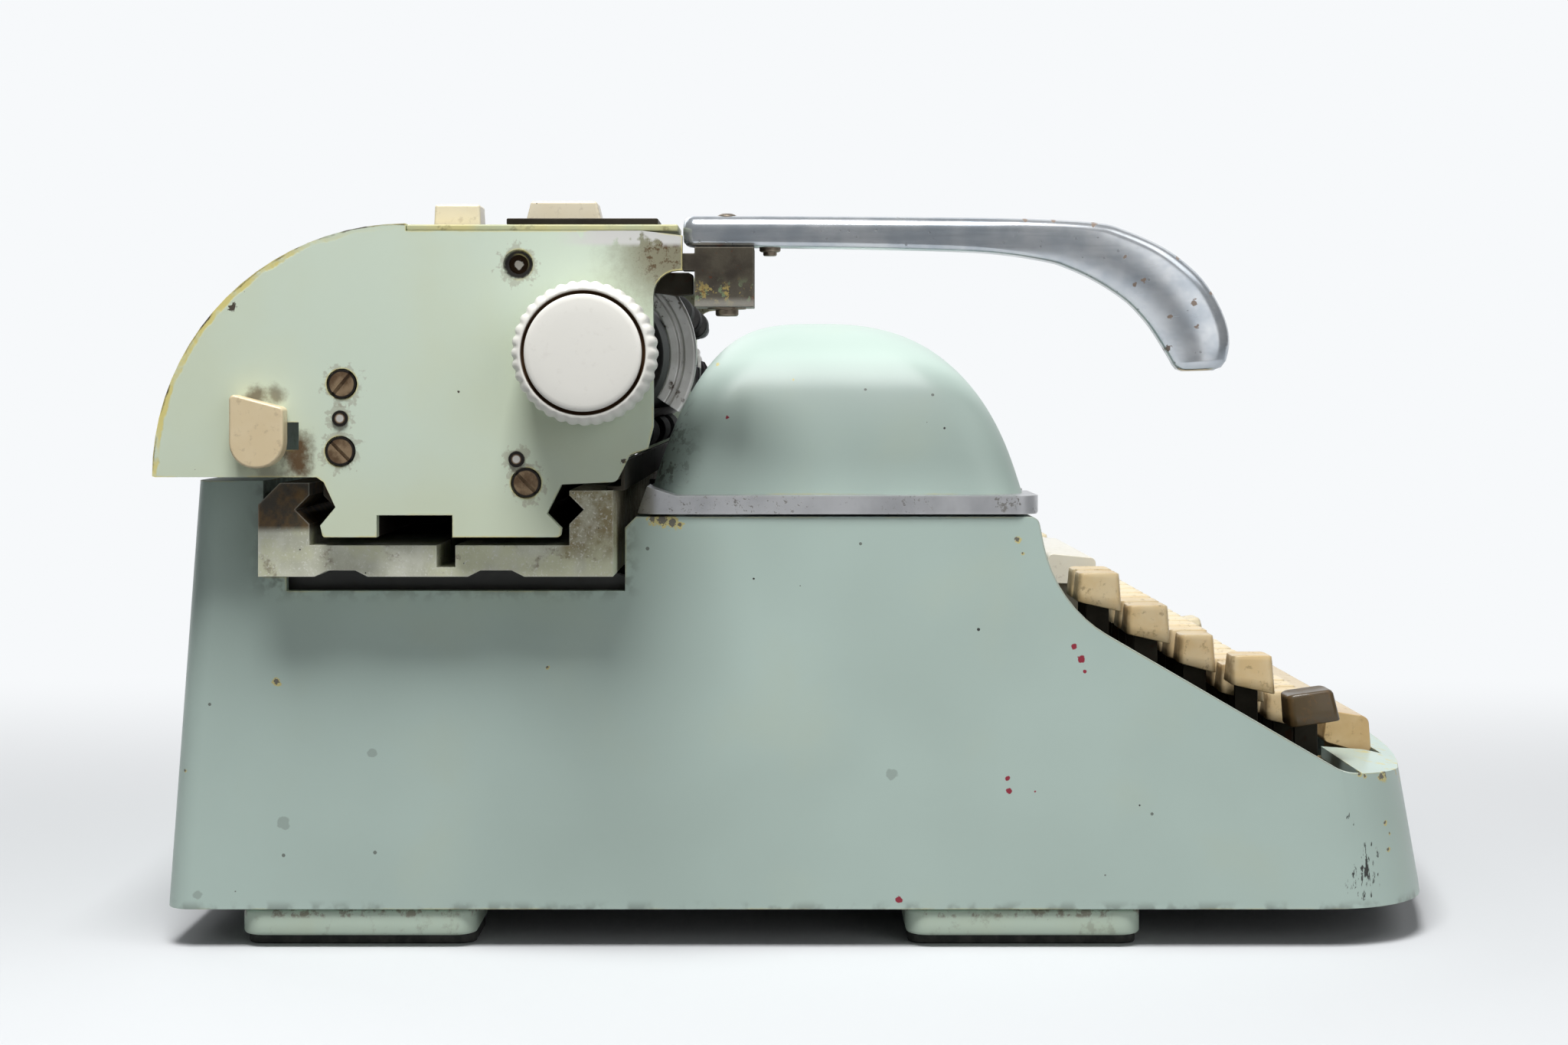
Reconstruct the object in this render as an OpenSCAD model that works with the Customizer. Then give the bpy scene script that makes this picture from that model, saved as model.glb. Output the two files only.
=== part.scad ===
// Manual typewriter, standard office size.
// X runs to the operator's right, Y to the rear, Z up; the origin is on the table, mid machine.

/* [Body] */
// Width over the side walls
body_w = 340; // [334:1:352]
// Thickness of the cast shell
wall = 4; // [3:0.5:5]
// Rear wall at the sill
rear_y = 217.8; // [214:0.2:221]
// Front wall at the sill, in the middle
front_y = -217.6; // [-221:0.2:-214]
// Lean of the rear wall
rear_lean = 4.2; // [2:0.2:6]
// Lean of the front wall
front_lean = 10; // [6:0.5:12]
// Radius of the rear corners in plan
rear_r = 9; // [8:1:16]
// Radius of the front corners in plan
front_r = 38; // [30:1:44]
// How far the front bows forward
front_bow = 15.2; // [10:0.2:18]
// Height of the deck behind the carriage
deck_z = 153; // [152:0.2:153.6]
// Height of the deck under the ribbon cover
top_z = 141.2; // [139:0.2:141.4]
// Height of the front lip
lip_z = 57; // [55:0.5:59]

/* [Feet] */
// Thickness of the rubber pads
pad_h = 4; // [3:0.5:6]
// Thickness of the painted foot bars
foot_h = 8.5; // [7:0.5:10]
// Height of the washer between a foot and the base
foot_gap = 0.5; // [0.3:0.1:1]
// Length of a foot bar
foot_l = 77; // [60:1:84]
// Width of a foot bar
foot_w = 34; // [28:1:40]

/* [Rail] */
// How far the rail stands out of the side walls
rail_out = 18; // [12:1:20]
// Underside of the rail
rail_z = 123; // [122:0.2:124]
// Floor of the rail's channel
rail_floor = 10; // [8:0.5:11]
// Diameter of the carriage balls
ball_d = 9; // [8:0.1:9.2]

/* [Carriage] */
// How far the end plates stand out past the side walls
overhang = 25; // [23:1:30]
// Thickness of an end plate's face
end_t = 5; // [4:0.5:6]
// Depth of the rim behind the face
rim_d = 20; // [16:1:21]
// Thickness of the rim
rim_t = 5; // [4:0.5:6]
// Radius of the rounded rear
arc_r = 80; // [79:0.2:80.4]
// Travel of the carriage to each side
travel = 110; // [80:5:120]

/* [Platen] */
// Height of the platen's axis
platen_z = 194; // [193.5:0.1:194.5]
// Radius over the rubber
platen_r = 22; // [20:0.2:22.4]
// Thickness of the rubber
rubber_t = 3; // [2:0.5:5]
// Radius of the platen shaft
shaft_r = 6; // [5:0.25:7]
// Radius of a knob
knob_r = 22.5; // [21:0.5:24]
// Length of a knob
knob_l = 21; // [18:1:24]
// Scallops round a knob
scallops = 32; // [24:2:40]
// Radius of a feed roller
feed_r = 6; // [5:0.25:6.5]

/* [Cover] */
// Height of the dome above the trim
dome_h = 57.6; // [54:0.2:60]
// Thickness of the dome
dome_t = 2.5; // [2:0.25:3.5]
// Height of the aluminium trim
trim_h = 6; // [5:0.5:7]
// How far the trim stands out before and behind the dome
trim_out = 3.5; // [2.5:0.25:4]
// How far the trim stands out at the dome's sides
trim_side = 10; // [8:0.5:11]
// How far the trim stands out over the body's sides
trim_over = 1; // [0.5:0.25:2]
// Radius of the dome's corners in plan
dome_corner = 16; // [10:1:22]
// Width of the gap for the type bars
mouth_w = 150; // [130:2:160]

/* [Keyboard] */
// Distance between keys in a row
key_pitch = 19; // [18:0.1:20]
// Width of a key cap
key_w = 16.4; // [14:0.2:17]
// Depth of a key cap
key_d = 15.2; // [14:0.2:15.6]
// Thickness of a key lever
lever_t = 1.6; // [1.2:0.1:2]
// Height of a key lever
lever_h = 8; // [6:0.5:10]
// Length of the space bar
space_l = 200; // [180:2:206]
// Length of the tabulator bar
tab_l = 120; // [100:2:130]

/* [Return lever] */
// Thickness of the lever seen from above
arm_w = 12; // [10:0.5:14]
// Depth of the lever's bar
arm_h = 10.5; // [9:0.5:11]

/* [Type basket] */
// Number of type bars
bars = 40; // [30:2:42]
// Radius of the segment at the type bar pivots
segment_r = 38; // [36:0.5:40]
// Length of a type bar
bar_l = 72; // [68:0.5:74]

/* [Clearances] */
// Radial clearance of turning shafts
run_gap = 0.05; // [0.03:0.01:0.08]
// Radial clearance of fixed pins
pin_gap = 0.02; // [0.01:0.01:0.04]
// Gap between moving pieces
move_gap = 0.4; // [0.3:0.05:0.6]

/* [Hidden] */
$fn = 48;

// Places shared by several pieces
half_w = body_w / 2;
sill_z = pad_h + foot_h + foot_gap;
base_t = 2;
floor_z = sill_z + base_t;
end_x = half_w + overhang;
beam_x = end_x - end_t;
rim_x = beam_x - rim_d;
rail_x = half_w + rail_out;
skin_gap = 1;
far = 400;

// Carriage slot in the body sides
slot_front = 67;
slot_rear = 177.6;
slot_z = 117;
slot_step = 7.5;
slot_step_h = 4.5;
slot_bevel = 3.5;

// Front outline of the body, rear to front
brow_y = -68;
knee = [-73.6, 112.4];
knee_r = 45;
dip = [-169, lip_z];
dip_r = 14;
lip_y = -178;
lip_round = lip_y - 12;
lip_fall = 5;
well_rear = -73;
well_rim = 6;
space_front = -193.5;
space_room = 2.8;

// Frame inside
frame_t = 5;
frame_x = half_w - wall - frame_t / 2 - 3.5;
shaft_y = 95;
shaft_z = 92;
lever_shaft_r = 4;
bar_a = [[44, 68], [92, 105]];
bar_b = [[150, 166], [60, 76]];
guide_x = 53;
guide_y = 62.5;
guide_r = 3;

// Carriage section
platen_y = 76.8;
beam_front = 86;
beam_rear = 161.8;
beam_z = 136;
groove_z = 144.4;
groove = 4.6;
rail_front = [69.7, 83.6];
rail_rear = [166.6, 183];
arc_c = [135, 155.3];
plate_z = arc_c.y + arc_r - 2.3;
plate_t = 2;
plate_y = [48.6, 134.6];
feed_turn = 16;
feed_gap = 0.3;
bail_pivot = [99.2, plate_z - 10.6];
bail_r = 6;
bail_turn = 54;

// Cover section
trim_z = top_z + 0.9;
dome_z = trim_z + trim_h;
dome_y = 1;
dome_front = 66;
dome_rear = 58.8;
dome_lean = 18;
dome_end = 46;
trim_x = half_w + trim_over;
dome_x = trim_x - trim_side;
trim_front = dome_y - dome_front - trim_out;
trim_rear = dome_y + dome_rear + trim_out;
trim_r = 8;
trim_edge = 0.8;
ear_h = 3;
ear_y = [trim_rear - 13, trim_rear - 3.4];
hinge_y = -66.2;
hinge_z = trim_z + 2.7;
hinge_r = 1.2;
hinge_x = 118;
hinge_l = 16;

// Escapement
pinion_y = 123;
tooth_m = 1;
pinion_n = 12;
pinion_r = tooth_m * pinion_n / 2;
rack_z = [137, 142.6];

// Type basket
print_y = platen_y - platen_r;
basket_tilt = 8;
basket_rise = sqrt(bar_l * bar_l - segment_r * segment_r);
basket_y = print_y + basket_rise * sin(basket_tilt);
basket_z = platen_z - basket_rise * cos(basket_tilt);
bar_fan = 156;

// Spools
spool_x = 112;
spool_y = 4;
spool_z = 146;
spool_r = 27;
spool_h = 16;
spool_plate_t = 2;
post_r = 3;
leg_x = 113;
leg_w = 12;
leg_d = 5;

// Mainspring drum, under the rail, and the escapement's axle
drum_at = [-100, 136];
drum_z = [84, 104];
drum_r = 24;
stud_r = 4;
axle_r = 2.5;

// Unit vector, and the round of radius r at corner b between a and c
function unit(v) = v / norm(v);
function corner(a, b, c, r, n) =
  let (u = unit(a - b), v = unit(c - b), half = acos(u * v) / 2)
  let (m = b + r / sin(half) * unit(u + v), s = b + r / tan(half) * u, e = b + r / tan(half) * v)
  let (a0 = atan2(s.y - m.y, s.x - m.x), a1 = atan2(e.y - m.y, e.x - m.x))
  let (turn = a1 - a0 > 180 ? a1 - a0 - 360 : a1 - a0 < -180 ? a1 - a0 + 360 : a1 - a0)
  [for (i = [0:n]) m + r * [cos(a0 + turn * i / n), sin(a0 + turn * i / n)]];
// Outline with round corners, from points [y, z, radius]
function xy(p) = [p[0], p[1]];
function rounded(p, n = 6) = [for (i = [0:len(p) - 1])
  let (a = xy(p[(i + len(p) - 1) % len(p)]), b = xy(p[i]), c = xy(p[(i + 1) % len(p)]))
  each (p[i][2] > 0 ? corner(a, b, c, p[i][2], n) : [b])];
// Outline moved inwards by t, for points that run anticlockwise
function left(v) = [-v.y, v.x];
function inset(p, t) = [for (i = [0:len(p) - 1])
  let (a = p[(i + len(p) - 1) % len(p)], b = p[i], c = p[(i + 1) % len(p)])
  let (n1 = left(unit(b - a)), n2 = left(unit(c - b)))
  b + t * (n1 + n2) / (1 + n1 * n2)];
// Points of an arc
function round_at(r, a) = r * [cos(a), sin(a)];
function arc(c, r, a0, a1, n) = [for (i = [0:n]) c + round_at(r, a0 + (a1 - a0) * i / n)];

module block(x, y, z) {
  translate([x[0], y[0], z[0]]) cube([x[1] - x[0], y[1] - y[0], z[1] - z[0]]);
}
// A side outline, given in Y and Z, drawn out along X
module along_x(x0, x1) {
  translate([x0, 0, 0]) rotate([90, 0, 90]) linear_extrude(x1 - x0) children();
}
// A front outline, given in X and Z, drawn out along Y
module along_y(y0, y1) {
  translate([0, y1, 0]) rotate([90, 0, 0]) linear_extrude(y1 - y0) children();
}
module rod_x(x0, x1, y, z, r) {
  translate([x0, y, z]) rotate([0, 90, 0]) cylinder(h = x1 - x0, r = r);
}
module rod_z(x, y, z0, z1, r) {
  translate([x, y, z0]) cylinder(h = z1 - z0, r = r);
}
module both_sides() {
  children();
  mirror([1, 0, 0]) children();
}

// Body shell: side outline, rear plan and front plan, each drawn in by t
side_corners = [
  [rear_y + 10, sill_z, 0],
  [rear_y + 10, deck_z, 0],
  [arc_c.x, deck_z, 0],
  [arc_c.x, top_z, 0],
  [brow_y, top_z, 3],
  [knee.x, knee.y, knee_r],
  [dip.x, dip.y, dip_r],
  [lip_round, lip_z - lip_fall * 0.3, 12],
  [front_y - 10, lip_z - lip_fall * 2, 0],
  [front_y - 10, sill_z, 0]];
// The rounds shrink where the outline turns outwards and grow where it turns inwards
function side_outline(t) =
  let (p = [for (c = side_corners) xy(c)], q = inset(p, t), n = len(p))
  rounded([for (i = [0:n - 1])
    let (bend = sign(cross(p[i] - p[(i + n - 1) % n], p[(i + 1) % n] - p[i])), r = side_corners[i][2])
    [q[i].x, q[i].y, r > 0 ? max(0, r - t * bend) : 0]], 8);

rear_corners = [[-half_w, -far, 0], [half_w, -far, 0], [half_w, rear_y, rear_r], [-half_w, rear_y, rear_r]];
module rear_plan(t) {
  polygon(inset(rounded(rear_corners, 8), t));
}

// The front bows on a large arc that meets the corner rounds smoothly
front_span = half_w - front_r;
bow_r = (front_span * front_span + front_bow * front_bow) / (2 * front_bow);
bow_turn = asin(front_span / (bow_r - front_r));
bow_c = [0, front_y + bow_r];
bow_n = 12;
corner_y = bow_c.y - (bow_r - front_r) * cos(bow_turn);
front_outline = concat([[half_w, far], [-half_w, far]],
  arc([-front_span, corner_y], front_r, 180, 270 - bow_turn, 8),
  [for (i = [1:bow_n - 1]) bow_c + round_at(bow_r, 270 - bow_turn + 2 * bow_turn * i / bow_n)],
  arc([front_span, corner_y], front_r, 270 + bow_turn, 360, 8));
module front_plan(t) {
  polygon(inset(front_outline, t));
}

module shell_form(t) {
  low = t > 0 ? -10 : sill_z;
  intersection() {
    along_x(-half_w - 10, half_w + 10) union() {
      polygon(side_outline(t));
      if (t > 0) translate([front_y, low]) square([rear_y - front_y, sill_z + 10 - low]);
    }
    translate([0, rear_y, sill_z]) rotate([rear_lean, 0, 0]) translate([0, -rear_y, -40])
      linear_extrude(far) rear_plan(t);
    translate([0, front_y, sill_z]) rotate([-front_lean, 0, 0]) translate([0, -front_y, -40])
      linear_extrude(far) front_plan(t);
  }
}

module body_shell() {
  color([0.60, 0.69, 0.64]) difference() {
    shell_form(0);
    shell_form(wall);
    along_x(-far, far) polygon([[slot_front, slot_z], [slot_rear, slot_z],
      [slot_rear, slot_z + slot_step_h], [slot_rear + slot_step, slot_z + slot_step_h],
      [slot_rear + slot_step, far], [slot_front - slot_bevel, far], [slot_front - slot_bevel, top_z],
      [slot_front, top_z - slot_bevel]]);
    block([-dome_x + 11, dome_x - 11], [-58, slot_front + 1], [top_z - 20, far]);
    block([-half_w + well_rim, half_w - well_rim], [lip_y + 3, well_rear], [lip_z - 25, top_z - 5]);
    block([-space_l / 2 - space_room, space_l / 2 + space_room], [space_front - space_room, lip_y + 5],
      [sill_z + 10, far]);
  }
}

module base_plate() {
  t = wall + skin_gap;
  color([0.25, 0.26, 0.26]) translate([0, 0, sill_z]) linear_extrude(base_t) intersection() {
    rear_plan(t);
    front_plan(t);
  }
}

// Places of the feet: outer side, and the middle of each pair
foot_x = half_w - 7 - foot_w / 2;
foot_mid = [-63.5, 154.5];
module at_feet() {
  for (s = [-1, 1], y = foot_mid) translate([s * foot_x, y, 0]) children();
}
module foot_outline(r, grow) {
  polygon(rounded([for (c = [[1, 1], [-1, 1], [-1, -1], [1, -1]])
    [c.x * (foot_w / 2 + grow), c.y * (foot_l / 2 + grow), r]]));
}

module feet() {
  washer_r = 9;
  color([0.60, 0.72, 0.63]) at_feet() {
    translate([0, 0, pad_h]) linear_extrude(foot_h) foot_outline(5, 0);
    translate([0, 0, pad_h]) cylinder(h = foot_h + foot_gap, r = washer_r);
  }
}

module foot_pads() {
  color([0.20, 0.21, 0.20]) at_feet() linear_extrude(pad_h) foot_outline(5, -0.8);
}

module main_frame() {
  side = [[-112, floor_z], [188, floor_z], [188, rail_z], [112, rail_z], [72, rail_z],
    [36, bar_a[1][1] + 4], [28, 70], [-112, 30]];
  color([0.12, 0.12, 0.12]) {
    both_sides() difference() {
      along_x(frame_x - frame_t / 2, frame_x + frame_t / 2) polygon(side);
      rod_x(0, far, shaft_y, shaft_z, lever_shaft_r + pin_gap);
    }
    for (b = [bar_a, bar_b]) block([-frame_x, frame_x], b[0], b[1]);
    both_sides() rod_z(guide_x, guide_y, bar_a[1][1] - 2, basket_z + 16, guide_r);
    both_sides() block([leg_x, leg_x + leg_w], [bar_a[0][0], bar_a[0][0] + leg_d],
      [bar_a[1][1] - 2, spool_z - spool_plate_t - 1]);
  }
}

module lever_shaft() {
  color([0.55, 0.56, 0.57]) rod_x(-frame_x - frame_t, frame_x + frame_t, shaft_y, shaft_z, lever_shaft_r);
}

module carriage_rail() {
  floor_top = rail_z + rail_floor;
  section = [[rail_front[0], rail_z], [98, rail_z], [102, rail_z + 2], [112, rail_z + 2], [116, rail_z],
    [148, rail_z], [152, rail_z + 2], [161, rail_z + 2], [165, rail_z], [rail_rear[1], rail_z],
    [rail_rear[1], 146], [rail_rear[1] - 7, deck_z], [rail_rear[0], deck_z],
    [rail_rear[0], groove_z + groove], [rail_rear[0] + groove, groove_z],
    [rail_rear[0], groove_z - groove], [rail_rear[0], floor_top],
    [pinion_y + 3, floor_top], [pinion_y + 3, rail_z + 3], [pinion_y - 3, rail_z + 3],
    [pinion_y - 3, floor_top], [rail_front[1], floor_top],
    [rail_front[1], groove_z - groove], [rail_front[1] - groove, groove_z],
    [rail_front[1], groove_z + groove], [rail_front[1], 150.5], [rail_front[0], 150.5]];
  color([0.66, 0.65, 0.58]) difference() {
    union() {
      along_x(-rail_x, rail_x) polygon(section);
      rod_z(drum_at.x, drum_at.y, drum_z[0] - 1, rail_z + 1, stud_r);
    }
    rod_z(0, pinion_y, rail_z - 1, floor_top + 1, axle_r + run_gap);
  }
}

// Type basket: turned in plan round the segment's centre, then tilted with its front lower
module in_basket() {
  translate([0, basket_y, basket_z]) rotate([basket_tilt, 0, 0]) children();
}
module half_ring(r0, r1, z0, z1) {
  translate([0, 0, z0]) difference() {
    cylinder(h = z1 - z0, r = r1);
    translate([0, 0, -1]) cylinder(h = z1 - z0 + 2, r = r0);
    translate([-far, 0, -1]) cube([2 * far, far, z1 - z0 + 2]);
  }
}
bar_z = [-2.5, 2.5];
ear_r = guide_x + 9;

module type_segment() {
  ring = [segment_r - 12, segment_r - 3];
  color([0.35, 0.36, 0.37]) difference() {
    in_basket() {
      half_ring(ring[0], ring[1], -9, 7);
      half_ring(ring[0], segment_r + 8, -9, bar_z[0] - move_gap);
      both_sides() block([ring[0], ear_r], [-6, 5], [-9, bar_z[0] - move_gap]);
    }
    both_sides() rod_z(guide_x, guide_y, 0, far, guide_r + run_gap);
  }
}

module type_bars() {
  color([0.62, 0.63, 0.65]) in_basket() for (i = [0:bars - 1]) {
    rotate([0, 0, -90 - bar_fan / 2 + bar_fan * i / (bars - 1)]) {
      block([segment_r - 3 + move_gap, segment_r + bar_l], [-0.7, 0.7], bar_z);
      block([segment_r + bar_l - 7, segment_r + bar_l], [-1.6, 1.6], [bar_z[0], bar_z[1] + 4]);
    }
  }
}

module type_rest() {
  rest = [segment_r + bar_l - 22, segment_r + bar_l - 9];
  color([0.35, 0.13, 0.10]) in_basket() {
    half_ring(rest[0], rest[1], -9, bar_z[0] - move_gap);
    both_sides() block([ear_r, rest[1] - 1], [-4, 4], [-9, bar_z[0] - move_gap]);
  }
}

// Card guide: post on the cross bar, then the guide that the ribbon passes in front of the platen
guide_front = print_y - 6;
module card_guide() {
  post_y = [guide_front - 1, guide_front + 2];
  color([0.70, 0.70, 0.70]) {
    block([-9, 9], post_y, [bar_a[1][1], platen_z - 20]);
    difference() {
      block([-30, 30], [guide_front, guide_front + 2], [platen_z - 24, platen_z - 2]);
      block([-7, 7], [guide_front - 1, guide_front + 3], [platen_z - 8, platen_z]);
    }
  }
}

module spool_plate() {
  color([0.18, 0.18, 0.18]) both_sides() {
    block([spool_x - spool_r, spool_x + spool_r], [spool_y - spool_r, bar_a[0][0] + leg_d],
      [spool_z - spool_plate_t - 1, spool_z - 1]);
    rod_z(spool_x, spool_y, spool_z - 2, spool_z + spool_h + 2, post_r);
  }
}

module spool() {
  wound_r = spool_r - 5;
  difference() {
    union() {
      cylinder(h = 1.4, r = spool_r);
      cylinder(h = spool_h, r = wound_r);
      translate([0, 0, spool_h - 1.4]) cylinder(h = 1.4, r = spool_r);
    }
    translate([0, 0, -1]) cylinder(h = spool_h + 2, r = post_r + run_gap);
    for (a = [0:120:240]) rotate([0, 0, a]) translate([8, 0, spool_h - 3]) cylinder(h = 4, r = 3);
  }
}
spool_lift = 0.3 - 1;
module left_spool() {
  color([0.10, 0.10, 0.10]) translate([-spool_x, spool_y, spool_z + spool_lift]) spool();
}
module right_spool() {
  color([0.10, 0.10, 0.10]) translate([spool_x, spool_y, spool_z + spool_lift]) spool();
}

// Ribbon: thin upright stretches, level as they leave the spools, then up to the card guide
module ribbon() {
  width = spool_h - 4;
  thick = 0.4;
  leave_y = spool_y + spool_r - 5 + move_gap;
  leave_z = spool_z + 1.5;
  guide_run = [guide_front - 1.8, platen_z - 12];
  run = [[spool_x, leave_y, leave_z], [spool_x - spool_r + 1, leave_y + 5, leave_z],
    [44, 40, platen_z - 26], [16, guide_run.x, guide_run.y], [0, guide_run.x, guide_run.y]];
  color([0.12, 0.10, 0.12]) both_sides() for (i = [0:len(run) - 2]) hull() {
    translate(run[i]) cube([0.1, thick, width]);
    translate(run[i + 1]) cube([0.1, thick, width]);
  }
}

bell_in = 58;
bell_y = 130;
gong_r = 20;
gong_z = 50;
bell_post = 4;
module bell() {
  color([0.72, 0.70, 0.62]) translate([half_w - bell_in, bell_y, 0]) {
    translate([0, 0, floor_z]) cylinder(h = gong_z + gong_r - floor_z, r = bell_post);
    translate([0, 0, gong_z]) difference() {
      sphere(gong_r);
      sphere(gong_r - 1.6);
      translate([-far, -far, -far]) cube([2 * far, 2 * far, far]);
    }
  }
}

// Ribbon cover: rings from the foot to the top; s runs from 0 to 1 up the dome
function dome_half(s, foot, power) = (foot - dome_lean * s) * pow(1 - pow(s, 3), 1 / power);
function dome_width(s, t) = dome_x - t - dome_end * (1 - sqrt(1 - pow(max(0, (s - 0.4) / 0.6), 2)));
function oblong(x, front, rear, r) =
  rounded([[x, rear, r], [-x, rear, r], [-x, front, r], [x, front, r]], 8);
function dome_ring(s, t) =
  let (rear = dome_half(s, dome_rear - t, 4), front = dome_half(s, dome_front - t, 2.6))
  [for (p = oblong(dome_width(s, t), -front, rear, min(dome_corner, 0.9 * rear, 0.9 * front)))
    [p.x, dome_y + p.y, dome_z + s * (dome_h - t)]];
module dome_form(t) {
  steps = [0, 0.12, 0.25, 0.38, 0.5, 0.61, 0.71, 0.8, 0.88, 0.94, 0.98, 0.996];
  rings = [for (s = steps) each dome_ring(s, t)];
  n = len(rings) / len(steps);
  last = len(steps) - 1;
  faces = [for (k = [0:last - 1], i = [0:n - 1]) each [
    [k * n + i, (k + 1) * n + i, k * n + (i + 1) % n],
    [(k + 1) * n + i, (k + 1) * n + (i + 1) % n, k * n + (i + 1) % n]]];
  polyhedron(rings, concat(faces, [[for (i = [0:n - 1]) i]], [[for (i = [n - 1:-1:0]) last * n + i]]));
}
mouth_y = 6;
module mouth() {
  block([-mouth_w / 2, mouth_w / 2], [mouth_y, far], [0, far]);
}

module ribbon_cover() {
  color([0.58, 0.67, 0.62]) difference() {
    dome_form(0);
    translate([0, 0, -0.01]) dome_form(dome_t);
    mouth();
  }
}

// The trim's ends rise behind the dome, and its lower front edge is bevelled
module cover_trim() {
  lug = hinge_l / 2 + move_gap;
  top = trim_z + trim_h;
  side = [[trim_front + trim_edge, trim_z], [trim_rear, trim_z], [ear_y[1], top + ear_h], [ear_y[0], top],
    [trim_front, top], [trim_front, trim_z + trim_edge]];
  color([0.66, 0.66, 0.68]) difference() {
    intersection() {
      linear_extrude(far) difference() {
        polygon(oblong(trim_x, trim_front, trim_rear, trim_r));
        polygon([for (p = dome_ring(0, dome_t + 1)) xy(p)]);
      }
      along_x(-far, far) polygon(side);
    }
    translate([0, 0, top]) linear_extrude(far) polygon([for (p = dome_ring(0, -move_gap)) xy(p)]);
    mouth();
    both_sides() block([hinge_x - lug, hinge_x + lug], [-far, 0], [0, far]);
    both_sides() rod_x(hinge_x - lug - 9, hinge_x + lug + 9, hinge_y, hinge_z, hinge_r + run_gap);
  }
}

module hinge_brackets() {
  knuckle_r = 2.4;
  color([0.45, 0.45, 0.45]) both_sides() {
    rod_x(hinge_x - hinge_l / 2, hinge_x + hinge_l / 2, hinge_y, hinge_z, knuckle_r);
    rod_x(hinge_x - hinge_l / 2 - 7, hinge_x + hinge_l / 2 + 7, hinge_y, hinge_z, hinge_r);
    block([hinge_x - hinge_l / 2, hinge_x + hinge_l / 2], [hinge_y - 1.5, hinge_y + 1.5], [top_z, hinge_z]);
  }
}

// End plates of the carriage
neck_front = 47.3;
neck_z = plate_z - 12.5;
front_edge = 56.5;
plate_outline = concat(
  arc(arc_c, arc_r, 0, 90, 20),
  rounded([[plate_y[1] + 0.2, arc_c.y + arc_r - 0.01, 0], [plate_y[1] + 0.2, plate_z, 0], [60, plate_z, 0],
    [neck_front, plate_z - 1.5, 0], [neck_front, neck_z, 0], [front_edge, neck_z, 8], [front_edge, 171, 3],
    [58.3, 164, 0], [64, 162, 2], [68.3, 153.5, 2], [85.6, 152.7, 0], [90.2, 143.5, 0], [85.6, 138.7, 0],
    [86, beam_z, 1], [120, beam_z, 0], [120, 143, 0], [144, 143, 0], [144, beam_z, 0], [161, beam_z, 1],
    [beam_rear, 139.7, 0], [157, 145.5, 0], [160.7, 153.4, 0], [163, arc_c.y - 0.3, 0],
    [arc_c.x + arc_r - 1, arc_c.y - 0.3, 0]]));
screw_at = [[155, 184.5], [155.5, 163.2], [96.7, 153.2]];
stud_at = [[155.5, 173.6], [99.7, 160.7]];
screw_r = 4.5;
shank_r = 2.5;
sink = 1.6;
feed_d = platen_r + feed_r + feed_gap;
front_feed = [platen_y - feed_d * sin(feed_turn), platen_z - feed_d * cos(feed_turn)];
rear_feed = [platen_y + feed_d * sin(feed_turn), platen_z - feed_d * cos(feed_turn)];
feed_axle = 2.5;
bail_axle = 3;
blind = 2.5;

// Release lever slot, and the sliding stem in it
stem_y = [177, 184];
stem_z = [164, 172];
release_travel = 8;

// Push buttons: the holes that they drop through
button_x = [-beam_x + 3, -rim_x - 4];
rear_hole = [112, 127];
front_hole = [73, 98];
button_foot = plate_z - 2.5;
module button_holes() {
  for (y = [rear_hole, front_hole]) block([button_x[0] - move_gap, button_x[1] + move_gap],
    [y[0] - move_gap, y[1] + move_gap], [plate_z - 20, far]);
}

module end_plate() {
  difference() {
    along_x(-end_x, -beam_x) polygon(plate_outline);
    for (p = screw_at) {
      rod_x(-far, far, p.x, p.y, shank_r + pin_gap);
      rod_x(-far, -end_x + sink, p.x, p.y, screw_r + move_gap);
    }
    for (p = stud_at) rod_x(-far, far, p.x, p.y, shank_r + pin_gap);
    rod_x(-far, far, platen_y, platen_z, shaft_r + run_gap);
    for (p = [front_feed, rear_feed]) rod_x(-beam_x - blind, far, p.x, p.y, feed_axle + run_gap);
    rod_x(-far, far, bail_pivot.x, bail_pivot.y, bail_axle + run_gap);
    rod_x(-far, -end_x + sink, bail_pivot.x, bail_pivot.y, screw_r + 0.2);
    block([-far, far], [stem_y[0] - release_travel - move_gap, stem_y[1] + move_gap],
      [stem_z[0] - move_gap, stem_z[1] + move_gap]);
  }
  difference() {
    along_x(-beam_x - 0.5, -rim_x)
      polygon(concat(arc(arc_c, arc_r, 2, 90, 20), [[plate_y[1] + 0.2, plate_z], [60, plate_z],
        [60, plate_z - rim_t], [arc_c.x, plate_z - rim_t]], arc(arc_c, arc_r - rim_t, 86, 2, 20)));
    button_holes();
  }
}
module left_end_plate() {
  color([0.70, 0.77, 0.70]) end_plate();
}
module right_end_plate() {
  color([0.70, 0.77, 0.70]) mirror([1, 0, 0]) end_plate();
}

beam_face = beam_front + 2.4;
beam_top = deck_z;
notch = [pinion_y - pinion_r - 1.6, 144];
notch_z = 143.4;
module carriage_beam() {
  section = [[beam_face, beam_z], [notch[0], beam_z], [notch[0], notch_z], [notch[1], notch_z],
    [notch[1], beam_z], [beam_rear, beam_z], [beam_rear, groove_z - groove], [beam_rear - groove, groove_z],
    [beam_rear, groove_z + groove], [beam_rear, beam_top], [beam_face, beam_top],
    [beam_face, groove_z + groove], [beam_face + groove, groove_z], [beam_face, groove_z - groove]];
  color([0.55, 0.58, 0.52]) difference() {
    along_x(-beam_x, beam_x) polygon(section);
    both_sides() for (p = screw_at) rod_x(beam_x - 3, far, p.x, p.y, shank_r + 0.5);
  }
}

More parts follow.
